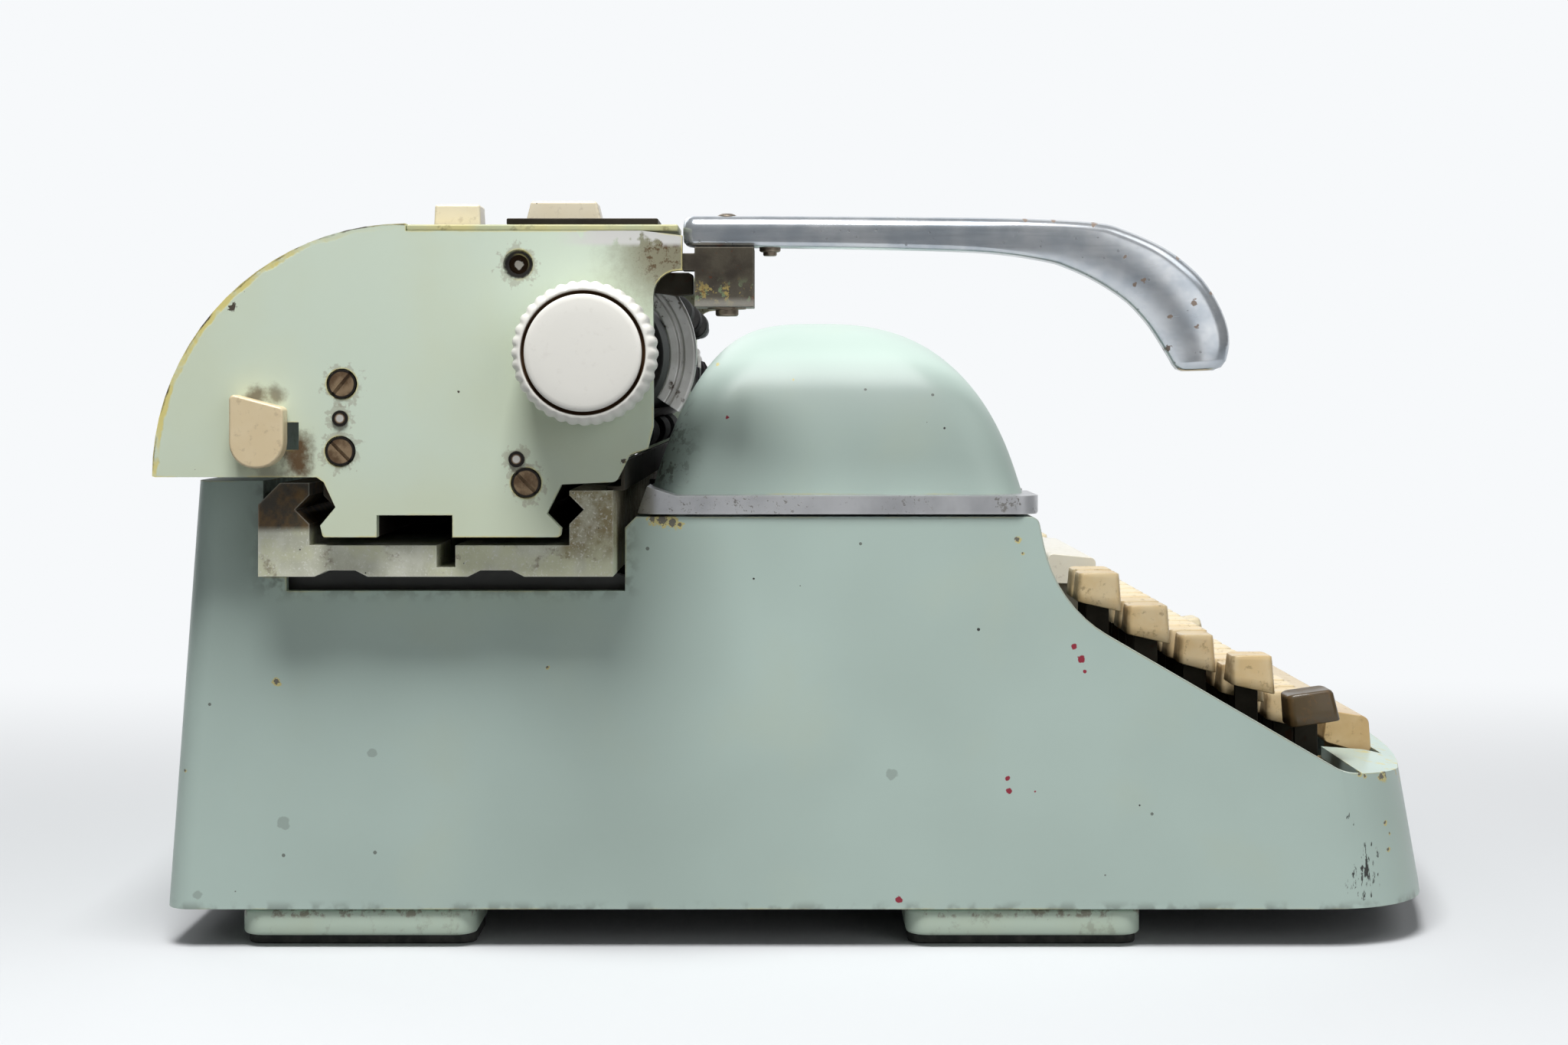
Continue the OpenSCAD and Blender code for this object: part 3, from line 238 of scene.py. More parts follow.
def sageEnamel(name, marked):
    # the wall's paint carries the wall's marks; the dome's is duller and has its own
    paint = Finish(name, Metallic=0.0, Coat_Roughness=0.22 if marked else 0.36)
    cloud = paint.noise(95, 2.0)
    paint.colour = paint.mix(cloud.rise(0.35, 0.7), enamel["base" if marked else "dome"], enamel["dull"])
    paint.lay(paint.noise(38, 3.0, seed=3.1).rise(0.52, 0.78) * 0.4, enamel["warm"])
    rub = paint.noise(2.2, 4.0, 0.7, seed=1.7)
    edge = paint.edges(0.0016)
    bare = (edge * 3.2 + rub * 0.9).rise(1.02, 1.16) * paint.noise(26, 2.0, seed=5.2).rise(0.46, 0.6)
    paint.lay(edge.rise(0.05, 0.3) * 0.35, enamel["warm"])
    paint.lay(bare, enamel["primer"])
    # the slope beside the keys is rubbed brown along its edge
    slope = paint.y.fall(-0.072, -0.062) * paint.z.rise(0.056, 0.06) * edge.rise(0.06, 0.25)
    paint.lay(slope * 0.7, enamel["rubbed"])
    paint.lay(paint.specks(15, 0.6, 0.2) * 0.75, enamel["dirt"])
    paint.lay(paint.specks(23, 0.6, 0.47) * 0.6, enamel["pale"])
    rough = 0.40 + paint.noise(24, 3.0) * 0.12 + bare * 0.2
    if marked:
        wallMarks(paint)
        lip = paint.y.fall(-0.193, -0.178) * paint.z.rise(0.046, 0.058)
        worn = lip * paint.noise(5.5, 4.0, 0.65, seed=7.3).rise(0.56, 0.62)
        paint.lay(worn, enamel["primer"])
        rough = rough + worn * 0.2
    else:
        domeMarks(paint)
    paint.relief(paint.noise(3.2, 2.0), 0.012)
    paint.relief(paint.noise(0.8, 2.0), 0.004)
    paint.relief(bare, -0.06)
    shine = 0.28 if marked else 0.16
    return paint.finish(rough, coat=shine - bare * shine)


# end plates: yellower paint, worn to primer round the rim, rust round the screws
plate = {
    "base": (214, 228, 210), "aged": (214, 223, 196), "primer": (226, 214, 138),
    "rust": (112, 70, 34), "grime": (88, 66, 38), "steel": (74, 66, 54),
    # the hole colour is black painted shade, for the screw holes and for the gap round each screw head
    "hole": (26, 21, 16), "bareMetal": (216, 216, 213), "soot": (118, 108, 80),
    "centre": (135, 155.3), "radius": 80, "corner": (51, 227),
    # screw holes and chips: place and radius; blots of grime: place, radius and strength
    "holes": [(155, 184.5, 5.0), (155.5, 163.2, 5.0), (96.7, 153.2, 5.0), (99.2, 222.4, 5.0),
              (155.5, 173.6, 2.7), (99.7, 160.7, 2.7)],
    "chips": [(189.5, 208.8, 1.3), (66.0, 160.0, 1.0), (118.0, 182.0, 0.4)],
    "stains": [(168.6, 164.5, 6.5, 1.0), (168.8, 159.0, 6.0, 1.0), (178.0, 155.5, 6.5, 0.5),
               (182.5, 180.5, 4.5, 0.8), (176.0, 181.0, 4.0, 0.7)],
}


def plateGrime(paint):
    for y, z, r in plate["holes"]:
        paint.lay(paint.mark(y, z, r + 1.4, 0.9, 2.0) * 0.3, plate["rust"])
        # painted shade: each screw hole is laid black
        paint.lay(paint.mark(y, z, r, 0.12), plate["hole"])
    for y, z, r, share in plate["stains"]:
        ragged = (paint.noise(3.4, 4.0, 0.65) - 0.5) * (r * 0.0012)
        smoke = (paint.away(y, z) + ragged).fall(r * 0.0002, r * 0.0011)
        paint.lay(smoke * share, plate["grime"])
    # the corner by the return lever: rubbed bare along the top, sooty below
    corner = paint.away(*plate["corner"])
    fine = paint.noise(2.6, 5.0, 0.75, seed=3.3)
    soot = (corner + fine * 0.012).fall(0.010, 0.034)
    paint.lay(soot * 0.85, plate["soot"])
    black = (corner + fine * 0.01).fall(0.012, 0.022) * fine.rise(0.5, 0.62)
    paint.lay(black, plate["grime"])
    bright = paint.z.rise(0.2275, 0.2295) * paint.y.fall(0.072, 0.09)
    bright = bright * paint.noise(7, 4.0, 0.6, seed=1.9).rise(0.4, 0.5)
    paint.lay(bright, plate["bareMetal"])
    paint.dab(plate["chips"], plate["steel"], 1.0)


def platePaint(name):
    paint = Finish(name, Metallic=0.0, Coat_Roughness=0.25)
    cloud = paint.noise(60, 3.0)
    paint.colour = paint.mix(cloud.rise(0.38, 0.72) * 0.7, plate["base"], plate["aged"])
    low = paint.z.fall(0.136, 0.168) * 0.65
    paint.lay(low, plate["aged"])
    plateGrime(paint)
    # the rim's round part, where it faces the side
    away, radius = paint.away(*plate["centre"]), plate["radius"] / 1000
    across = paint.add("SeparateXYZ", {}, {0: paint.add("NewGeometry", out="Normal")})
    onArc = paint.z.rise(0.154, 0.156) * paint.y.rise(0.110, 0.135) * abs(across).rise(0.03, 0.3)
    ragged = (paint.noise(7, 4.0, 0.65) - 0.5) * 0.0028
    worn = paint.noise(16, 4.0, 0.6, seed=4.6).rise(0.4, 0.54) * paint.z.fall(0.222, 0.236)
    rim = (away + ragged).rise(radius - 0.0021, radius - 0.0014) * onArc * worn
    paint.lay(rim, plate["primer"])
    line = (away + ragged * 0.6).rise(radius - 0.0007, radius - 0.0002) * onArc
    paint.lay(line * paint.noise(11, 3.0, seed=2.0).rise(0.44, 0.56), plate["steel"])
    rub = paint.noise(2.4, 4.0, 0.7, seed=1.1)
    edge = paint.edges(0.0015)
    bare = (edge * 3.4 + rub).rise(1.0, 1.15) * paint.noise(18, 2.0, seed=5.0).rise(0.44, 0.56)
    paint.lay(bare, plate["primer"])
    paint.lay(paint.specks(12, 0.7, 0.31) * 0.7, plate["grime"])
    rough = 0.42 + paint.noise(20, 3.0) * 0.14 + bare * 0.15
    paint.relief(paint.noise(3.0, 2.0), 0.012)
    paint.relief(rim.orMore(bare), -0.08)
    return paint.finish(rough, coat=0.22 - bare * 0.22)


def simplePaint(name, base, worn, dirt, wear=1.0, seam=None):
    paint = Finish(name, Metallic=0.0)
    paint.colour = paint.mix(paint.noise(22, 3.0).rise(0.38, 0.7) * wear, base, worn)
    edge = paint.edges(0.0013)
    rub = (edge * 3.2 + paint.noise(2.0, 4.0, 0.7)).rise(1.0, 1.15)
    paint.lay(rub * 0.7, worn)
    grime = paint.noise(7, 4.0, 0.65, seed=2.0).rise(0.56, 0.7)
    paint.lay(grime * 0.55 * wear, dirt)
    if seam:
        rust = paint.z.rise(*seam) * paint.noise(5, 4.0, 0.65, seed=3.6).rise(0.5, 0.62)
        paint.lay(rust * 0.6, plate["rust"])
    paint.lay(paint.specks(9, 0.6, 0.3) * wear, dirt)
    paint.relief(paint.noise(1.6, 2.0), 0.015)
    return paint.finish(0.42 + grime * 0.25)


# rust on the lever: place in Y and Z and radius, in millimetres
leverRust = ((-99.7, 217.7, 0.8), (-115.8, 210.4, 1.1), (-116.5, 202.7, 0.7), (-108.0, 205.9, 0.8),
             (-107.7, 196.0, 0.9), (-96.9, 216.3, 0.6), (-93.6, 225.1, 0.6), (-62.0, 237.0, 0.8),
             (-71.0, 236.6, 0.7), (-84.0, 235.6, 1.0), (-110.9, 225.0, 0.7), (-121.6, 213.6, 0.7))
# pivot pin of the bail: place, radius of its socket and of its bright middle
bailPin = (99.2, 222.4, 5.0, 1.5)


def metalFinish(name, bright, dark, rough, grain=(1, 1, 1), stain=None, spread=0.6, pits=0.0, share=1.0,
                pin=None, scar=0.004, rust=()):
    # bright metal with slow tarnish, a brushed grain, pits and rust
    metal = Finish(name, Metallic=1.0)
    metal.colour = metal.mix(metal.noise(19, 4.0, 0.6).rise(0.36, 0.68) * spread, bright, dark)
    scratch = metal.noise(0.9, 3.0, 0.6, grain, 2.3)
    polish = rough + scratch * 0.14
    metal.relief(scratch, scar)
    metalShare = share - metal.noise(30, 2.0) * 0.02
    if stain:
        blot = metal.noise(6.5, 4.0, 0.68, seed=4.4).rise(0.58, 0.68)
        metal.lay(blot, stain)
        polish = polish + blot * 0.3
        metalShare = metalShare - blot * 0.8
    if pits:
        hole = metal.specks(2.2, 0.45, 0.2).orMore(metal.specks(6.0, 0.9, 0.6)) * pits
        metal.lay(hole, (46, 42, 36))
        metal.relief(hole, -0.1)
        metalShare = metalShare - hole * 0.7
    for y, z, r in rust:
        spot = metal.mark(y, z, r, 1.2, 1.0)
        metal.lay(spot * 0.8, (116, 86, 54))
        metalShare = metalShare - spot * 0.7
    if pin:
        y, z, socket, centre = pin
        metal.lay(metal.mark(y, z, socket, 0.2), (58, 44, 32))
        metal.lay(metal.mark(y, z, centre, 0.5), (236, 230, 216))
    return metal.finish(polish, metal=metalShare)


# clusters of pits on the trim: place and radius
trimPits = ((-57.4, 144.8, 2.4), (-60.2, 146.2, 1.6), (-55.0, 146.4, 1.3), (31.0, 146.0, 1.2))


def speckledTrim(name):
    # pale aluminium with fine dark pits, and edges laid paler as rubbed metal and as a painted highlight
    metal = Finish(name)
    cloud = metal.noise(26, 4.0, 0.6).rise(0.36, 0.68)
    metal.colour = metal.mix(cloud, (204, 205, 207), (178, 179, 182))
    fine = metal.noise(1.3, 4.0, 0.75, seed=2.7).rise(0.585, 0.635)
    fine = fine * metal.noise(15, 3.0, seed=4.2).rise(0.46, 0.6)
    grain = metal.noise(1.1, 4.0, 0.7, seed=5.5).rise(0.46, 0.54)
    for y, z, r in trimPits:
        fine = fine.orMore(metal.mark(y, z, r, 1.9, 1.4) * grain)
    metal.lay(fine * 0.8, (104, 100, 94))
    # painted highlight: every edge is laid paler, standing for light caught on it as well as for rubbing
    metal.lay(metal.edges(0.0016).rise(0.05, 0.3) * 0.6, (226, 226, 225))
    metal.relief(fine, -0.03)
    metal.relief(metal.noise(0.8, 3.0, 0.6, (1.0, 0.1, 1.0)), 0.004)
    return metal.finish(0.36 + fine * 0.25, metal=0.62 - fine * 0.4)


def castMetal(name):
    # raw casting of the rail, with old paint, rust and pitting
    metal = Finish(name)
    cloud = metal.noise(14, 5.0, 0.65).rise(0.34, 0.66)
    metal.colour = metal.mix(cloud, (232, 233, 216), (206, 207, 186))
    old = metal.noise(24, 3.0, seed=3.0).rise(0.46, 0.58)
    metal.lay(old * 0.6, (226, 228, 190))
    rust = metal.noise(9, 5.0, 0.7, seed=6.0).rise(0.58, 0.7) * 0.6
    metal.lay(rust, (112, 84, 48))
    # the two horns of the rail are rusty, the rear one nearly black
    horn = metal.y.rise(0.160, 0.167) * metal.z.rise(0.1365, 0.1395)
    dark = metal.noise(5, 4.0, 0.65, seed=1.4).rise(0.34, 0.62)
    metal.lay(horn * 0.95, metal.mix(dark, (104, 76, 38), (42, 31, 22)))
    fore = metal.y.fall(0.0845, 0.088) * metal.z.rise(0.126, 0.134)
    metal.lay(fore * (0.35 + dark * 0.5), (140, 122, 80))
    rust = rust.orMore(horn)
    hole = metal.specks(4.6, 0.5, 0.5)
    metal.lay(hole * 0.85, (52, 47, 38))
    grain = metal.noise(0.9, 3.0, 0.65, seed=3.7).rise(0.56, 0.66) * (1 - horn)
    metal.lay(grain * 0.6, (246, 246, 238))
    edge = metal.edges(0.0012)
    metal.lay(edge.rise(0.06, 0.3) * 0.6, (226, 224, 214))
    metal.relief(metal.noise(1.5, 3.0), 0.06)
    metal.relief(hole, -0.12)
    return metal.finish(0.5 + rust * 0.25, metal=0.14 - rust * 0.1)


# how plastics have aged: where the near side begins, how brown it is, grime, grime and painted shade on rear
# faces, worn edges
keyAge = {"near": (-0.145, -0.02), "age": 0.9, "grime": 0.5, "rear": 1.0, "edge": (240, 228, 196)}
brownAge = keyAge | {"edge": (140, 122, 88)}
spaceAge = {"near": (-0.105, -0.06), "age": 1.0, "grime": 0.6, "rear": 1.0, "edge": (232, 214, 172)}
tabAge = {"near": (-0.07, 0.03), "age": 0.25, "grime": 0.3, "rear": 0.3, "edge": (246, 240, 222)}
buttonAge = {"near": (-0.21, -0.12), "age": 0.4, "grime": 0.25, "rear": 0.2, "edge": (244, 232, 204)}
# the knobs also have a ring of gum round the disc: its axis, inner and outer radius
knobAge = {"near": (-0.3, -0.26), "age": 0.0, "grime": 0.06, "rear": 0.0, "edge": (240, 238, 230),
           "ring": (76.8, 194.0, 18.0, 19.0), "gum": (78, 54, 32)}


def agedPlastic(name, cream, brown, settings):
    # moulded caps: browner at the near side, worn paler on top
    cap = Finish(name, Metallic=0.0, Coat_Roughness=0.2)
    near = cap.x.fall(*settings["near"]) * settings["age"]
    blot = cap.noise(11, 3.0, 0.6).rise(0.32, 0.72)
    cap.colour = cap.mix(near * (0.55 + blot * 0.45), cream, brown)
    grime = cap.noise(3.2, 4.0, 0.68, seed=2.2).rise(0.55, 0.7)
    # faces that look to the rear are darkened: grime together with painted shade
    facing = cap.add("SeparateXYZ", {}, {0: cap.add("NewGeometry", out="Normal")}, out=1)
    behind = facing.rise(0.25, 0.8) * cap.noise(6, 3.0, 0.6, seed=5.1).rise(0.3, 0.6)
    grime = grime.orMore(behind * settings["rear"])
    cap.lay(grime * settings["grime"], (112, 82, 44))
    cap.lay(cap.specks(6.5, 0.5, 0.4) * 0.7, (70, 50, 28))
    edge = cap.edges(0.001)
    cap.lay(edge.rise(0.08, 0.4) * 0.3, settings["edge"])
    if "ring" in settings:
        y, z, inner, outer = settings["ring"]
        away = cap.away(y, z)
        gum = away.rise(inner / 1000, inner / 1000 + 0.0002) * away.fall(outer / 1000, outer / 1000 + 0.0005)
        cap.lay(gum * abs(cap.x).rise(0.2165, 0.2170), settings["gum"])
    cap.relief(cap.noise(0.7, 2.0), 0.006)
    cap.relief(grime, 0.01)
    rough = 0.34 + grime * 0.2 + cap.noise(7, 2.0) * 0.08
    return cap.finish(rough, coat=0.3 - grime * 0.2)


def dullRubber(name, base, worn):
    rubber = Finish(name, Metallic=0.0)
    rubber.colour = rubber.mix(rubber.noise(6, 4.0, 0.65).rise(0.35, 0.72), base, worn)
    rubber.lay(rubber.edges(0.001).rise(0.05, 0.3) * 0.4, worn)
    rubber.relief(rubber.noise(0.6, 2.0), 0.02)
    return rubber.finish(0.72 + rubber.noise(9, 2.0) * 0.1)


def ribbonCloth(name):
    cloth = Finish(name, Metallic=0.0)

    def thread(way):
        return cloth.add("TexWave", {"wave_type": "BANDS", "bands_direction": way},
                         {"Vector": cloth.point, "Scale": 420.0, "Distortion": 0.6})

    weave = thread("Z") * thread("X")
    cloth.relief(weave, 0.03)
    cloth.colour = cloth.mix(weave, (34, 28, 34), (60, 52, 58))
    return cloth.finish(0.85)


def feltFinish(name):
    felt = Finish(name, Metallic=0.0)
    fibre = felt.noise(0.8, 4.0, 0.7)
    felt.relief(fibre, 0.12)
    felt.colour = felt.mix(fibre.rise(0.3, 0.7), (84, 30, 26), (122, 56, 46))
    return felt.finish(0.95)


def flakedHub(name):
    # hub of the return lever: dark iron under flaking yellow and green paint
    hub = Finish(name)
    hub.colour = hub.mix(hub.noise(8, 4.0).rise(0.35, 0.7), (84, 78, 66), (58, 52, 44))
    low = hub.z.fall(0.214, 0.219)
    flake = hub.noise(3.0, 5.0, 0.7, seed=2.6)
    hub.lay(flake.rise(0.54, 0.59) * low, (160, 142, 82))
    green = hub.noise(4.2, 4.0, 0.7, seed=5.6).rise(0.56, 0.61) * low
    hub.lay(green, (112, 128, 96))
    hub.lay(hub.noise(5, 4.0, 0.7, seed=8.1).rise(0.57, 0.66), (92, 48, 22))
    hub.lay(hub.edges(0.0012).rise(0.06, 0.3) * 0.7, (150, 144, 130))
    hub.lay(hub.z.fall(0.2100, 0.2125) * 0.8, (158, 155, 146))
    hub.relief(flake, 0.12)
    return hub.finish(0.5 + flake * 0.2, metal=0.55 - low * 0.4)


def holeScrew(name):
    # screw heads sunk in the end plate: brown, with black painted shade in the gap round each head, bright
    # on the small pins
    head = Finish(name)
    cloud = head.noise(5, 4.0, 0.65).rise(0.36, 0.66)
    head.colour = head.mix(cloud, (150, 128, 100), (96, 74, 52))
    pins = []
    for y, z, r in plate["holes"]:
        away, metres = head.away(y, z), r / 1000
        # painted shade: a black ring round the rim of each head, where it sits in its hole
        gap = away.rise(metres - 0.0013, metres - 0.0010) * away.fall(metres + 0.0004, metres + 0.0008)
        head.lay(gap, plate["hole"])
        if r < 3:
            pins.append(away.fall(0.0010, 0.0014))
    head.lay(pins[0].orMore(pins[1]), (206, 204, 198))
    head.relief(head.noise(1.1, 3.0), 0.03)
    return head.finish(0.42 + head.noise(4, 3.0) * 0.15, metal=0.5)


steel, tarnish = (178, 179, 182), (128, 126, 120)
finishes = {material.name: material for material in (
    sageEnamel("shellEnamel", True),
    sageEnamel("domeEnamel", False),
    platePaint("plateEnamel"),
    simplePaint("coverEnamel", (188, 206, 194), (190, 204, 180), (110, 100, 70), 0.3),
    simplePaint("footEnamel", (214, 232, 214), (214, 226, 200), (112, 98, 70), 0.5,
                (0.0095, 0.0108)),
    simplePaint("topPlateEnamel", (186, 192, 156), (206, 198, 140), (74, 62, 40)),
    simplePaint("blackLacquer", (30, 30, 29), (52, 50, 46), (60, 54, 44), 0.5),
    metalFinish("darkIron", (70, 66, 58), (44, 40, 34), 0.46, stain=(58, 36, 20)),
    metalFinish("leverSteel", (66, 62, 54), (38, 35, 30), 0.5, stain=(66, 40, 20)),
    metalFinish("brightSteel", steel, tarnish, 0.3, (0.2, 1, 1)),
    metalFinish("bailSteel", steel, tarnish, 0.3, (0.2, 1, 1), pin=bailPin),
    metalFinish("screwSteel", (142, 132, 118), (92, 78, 62), 0.36, stain=(84, 52, 28)),
    metalFinish("polishedLever", (216, 220, 224), (172, 182, 192), 0.17, (1, 0.05, 1), spread=0.8,
                pits=0.4, share=0.76, scar=0.002, rust=leverRust),
    metalFinish("guideSteel", (226, 226, 224), (170, 168, 162), 0.3, stain=(70, 58, 46),
                share=0.6),
    metalFinish("dullBrass", (182, 158, 96), (134, 112, 62), 0.36),
    holeScrew("holeScrew"),
    speckledTrim("trimAluminium"),
    castMetal("railCasting"),
    flakedHub("flakedHub"),
    dullRubber("platenRubber", (28, 28, 28), (48, 47, 45)),
    dullRubber("padRubber", (52, 54, 52), (80, 80, 76)),
    agedPlastic("keyCream", (236, 222, 188), (222, 190, 134), keyAge),
    agedPlastic("keyBrown", (92, 77, 50), (78, 62, 38), brownAge),
    agedPlastic("spaceCream", (222, 198, 152), (198, 164, 112), spaceAge),
    agedPlastic("tabCream", (236, 232, 218), (206, 190, 150), tabAge),
    agedPlastic("buttonCream", (244, 236, 212), (226, 206, 166), buttonAge),
    agedPlastic("releaseCream", (236, 220, 186), (212, 184, 134), buttonAge),
    agedPlastic("knobIvory", (248, 246, 238), (242, 238, 226), knobAge),
    ribbonCloth("inkedRibbon"),
    feltFinish("redFelt"),
)}
print("finishes made:", len(finishes))


# solids that keep their shape: for each finish, a bevel in millimetres, its steps and the nodes
dressing = {
    "shellEnamel": [(1.7, 4, "body_shell")],
    "plateEnamel": [(1.1, 3, "left_end_plate right_end_plate")],
    "coverEnamel": [(0.5, 2, "carriage_cover")],
    "topPlateEnamel": [(0.5, 2, "top_plates")],
    "blackLacquer": [(0.4, 1, "base_plate spool_plate"), (0.6, 2, "main_frame"),
                     (0.3, 2, "left_spool right_spool")],
    "darkIron": [(0.3, 2, "hinge_brackets"), (0.5, 2, "carriage_beam"), (0.3, 1, "paper_pan"),
                 (0.4, 2, "dark_plate platen_core"), (0.6, 2, "mainspring_drum")],
    "leverSteel": [(0.25, 1, "number_levers upper_levers middle_levers lower_levers")],
    "brightSteel": [(0.5, 2, "lever_shaft type_segment"), (0.2, 1, "type_bars"), (0.4, 2, "card_guide bell"),
                    (0.0, 0, "escapement_rack bearing_balls")],
    "bailSteel": [(0.5, 2, "bail_arms")],
    "dullBrass": [(0.2, 1, "ball_cages escapement_wheel")],
    "holeScrew": [(0.35, 2, "end_plate_screws")],
    "trimAluminium": [(1.9, 5, "cover_trim")],
    "railCasting": [(0.5, 2, "carriage_rail")],
    "flakedHub": [(0.9, 2, "lever_hub")],
    "platenRubber": [(0.6, 2, "platen_rubber"), (0.4, 2, "front_feed_roller rear_feed_roller"),
                     (0.7, 3, "bail_rollers")],
    "padRubber": [(0.8, 2, "foot_pads")],
    "spaceCream": [(1.4, 3, "space_bar")],
    "tabCream": [(1.2, 3, "tab_bar")],
    "buttonCream": [(0.9, 3, "rear_button front_button")],
    "releaseCream": [(0.8, 3, "left_release_lever right_release_lever")],
    "inkedRibbon": [(0.0, 0, "ribbon")],
    "redFelt": [(0.8, 2, "type_rest")],
}
# gap that is welded, in millimetres; angles in degrees that still count as flat and as smooth
softening = {"weld": 0.02, "flat": 0.6, "smooth": 34, "weight": 60}


def smoothFaces(piece):
    piece.data.polygons.foreach_set("use_smooth", [True] * len(piece.data.polygons))
    piece.data.update()


def roundEdges(piece, bevel, steps, smooth, miter):
    edge = piece.modifiers.new("edge", "BEVEL")
    edge.width = bevel / 1000
    edge.segments = steps
    edge.limit_method = "ANGLE"
    edge.angle_limit = math.radians(smooth)
    edge.miter_outer = miter


def evenShading(piece):
    even = piece.modifiers.new("even", "WEIGHTED_NORMAL")
    even.mode = "FACE_AREA"
    even.weight = softening["weight"]
    even.keep_sharp = False


def soften(piece, bevel, steps):
    # joins the split faces, merges flat ground, rounds the sharp edges and evens the shading
    weld = piece.modifiers.new("weld", "WELD")
    weld.merge_threshold = softening["weld"] / 1000
    flat = piece.modifiers.new("flat", "DECIMATE")
    flat.decimate_type = "DISSOLVE"
    flat.angle_limit = math.radians(softening["flat"])
    if bevel > 0:
        roundEdges(piece, bevel, steps, softening["smooth"], "MITER_ARC")
    evenShading(piece)


def dress(piece, finish, bevel, steps):
    if piece.data.has_custom_normals:
        piece.data.attributes.remove(piece.data.attributes["custom_normal"])
    piece.data.materials.clear()
    piece.data.materials.append(finishes[finish])
    smoothFaces(piece)
    soften(piece, bevel, steps)


for finish, groups in dressing.items():
    for bevel, steps, names in groups:
        for name in names.split():
            dress(nodes[name], finish, bevel, steps)
print("solids dressed")


def newPiece(name, shape, finish, body, replaced=None, bevel=0.0, steps=2):
    # a shape is a list of points in millimetres and a list of faces
    points, faces = shape
    mesh = bpy.data.meshes.new(name)
    mesh.from_pydata([(x / 1000, y / 1000, z / 1000) for x, y, z in points], [], faces)
    mesh.update()
    piece = bpy.data.objects.new(name, mesh)
    bpy.context.scene.collection.objects.link(piece)
    mesh.materials.append(finishes[finish])
    smoothFaces(piece)
    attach(piece, body)
    if replaced:
        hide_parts(replaced)
    if bevel:
        soften(piece, bevel, steps)
    return piece


def ringFaces(rings, around):
    # quads between rings that stand one after another in the list of points
    return [(k * around + i, k * around + (i + 1) % around, (k + 1) * around + (i + 1) % around,
             (k + 1) * around + i) for k in range(rings - 1) for i in range(around)]


def closed(points, rings):
    # rings with a face at each end
    around = len(points) // rings
    ends = [tuple(reversed(range(around))), tuple(range(len(points) - around, len(points)))]
    return points, ringFaces(rings, around) + ends


def flipped(shape):
    points, faces = shape
    return points, [tuple(reversed(face)) for face in faces]


def joined(shapes):
    allPoints, allFaces = [], []
    for points, faces in shapes:
        first = len(allPoints)
        allPoints += points
        allFaces += [tuple(first + i for i in face) for face in faces]
    return allPoints, allFaces


def prism(outline, stations):
    # an outline in Y and Z, carried along X
    return closed([(x, y, z) for x in stations for y, z in outline], len(stations))


def cornerArcs(halfX, front, rear, corner, steps):
    # the rounded corners of a rectangle
    arcs = []
    for x, y, start in ((halfX - corner, rear - corner, 0), (corner - halfX, rear - corner, 90),
                        (corner - halfX, front + corner, 180), (halfX - corner, front + corner, 270)):
        turns = [math.radians(start + 90 * i / steps) for i in range(steps + 1)]
        arcs.append([(x + corner * math.cos(turn), y + corner * math.sin(turn)) for turn in turns])
    return arcs


def filletSteps(fillet, steps):
    # how far a rounded edge draws in and how far it lies below the top, from the side inwards
    turns = [math.pi / 2 * i / steps for i in range(steps + 1)]
    return [(fillet * (1 - math.cos(turn)), -fillet * (1 - math.sin(turn))) for turn in turns]


# key caps: sloping sides, rounded corners, a slanted foot and a top that is dished from side to side;
# each ring of the side has its share of the height, how far it is drawn in and how far it is lifted
keyCap = {"rearDrop": 10.0, "frontDrop": 13.5, "endLean": 0.7, "sideLean": 1.4, "corner": 2.2,
          "smallCorner": 0.4, "fillet": 1.1, "dish": 1.1, "dishRadius": 24.0, "insets": (2.0, 3.2, 4.6),
          "sides": ((0.0, 0.7, -1.1), (0.0, 0.25, -1.1), (0.025, 0.0, -1.1), (0.35, 0.0, -1.1),
                    (0.7, 0.0, -1.1), (0.9, 0.0, -1.1))}
# steps of rounded corners and of fillets; how much a corner tightens as its ring is drawn in
rounding = {"corner": 5, "fillet": 4, "tighten": 0.6}


def roundedRing(halfX, front, rear, corner):
    return sum(cornerArcs(halfX, front, rear, corner, rounding["corner"]), [])


def capRings(cap):
    # the rings of a cap; the last value is how far a ring follows the dish
    steps = rounding["fillet"]
    rings = [side + (0.0,) for side in cap["sides"]]
    for i, (inset, lift) in enumerate(filletSteps(cap["fillet"], steps)):
        if i > 0:
            rings.append((1.0, inset, lift, i / steps))
    return rings + [(1.0, inset, 0.0, 1.0) for inset in cap["insets"]]


def dished(x, cap):
    return min(0.0, cap["dishRadius"] - math.sqrt(cap["dishRadius"] ** 2 - x * x) - cap["dish"])


def capShape(place, width, depth):
    x0, y0, z0 = place
    points, cap, rings = [], keyCap, capRings(keyCap)
    for share, inset, lift, bowl in rings:
        halfX = width / 2 - cap["sideLean"] * share - inset
        halfY = depth / 2 - cap["endLean"] * share - inset
        corner = max(cap["smallCorner"], cap["corner"] - inset * rounding["tighten"])
        for x, y in roundedRing(halfX, -halfY, halfY, min(corner, halfX * 0.9, halfY * 0.9)):
            foot = -cap["frontDrop"] + (cap["frontDrop"] - cap["rearDrop"]) * (y / depth + 0.5)
            top = dished(x, cap) * bowl + lift
            points.append((x0 + x, y0 + y, z0 + foot * (1 - share) + top * share))
    return closed(points, len(rings))


# key levers, cut from sheet, for the keys whose solid has cap and lever in one
keyLever = {"shaft": (95.0, 92.0), "hub": 6.0, "run": 42.0, "height": 8.0, "stem": 8.0, "sheet": 1.6,
            "bevel": 0.25}


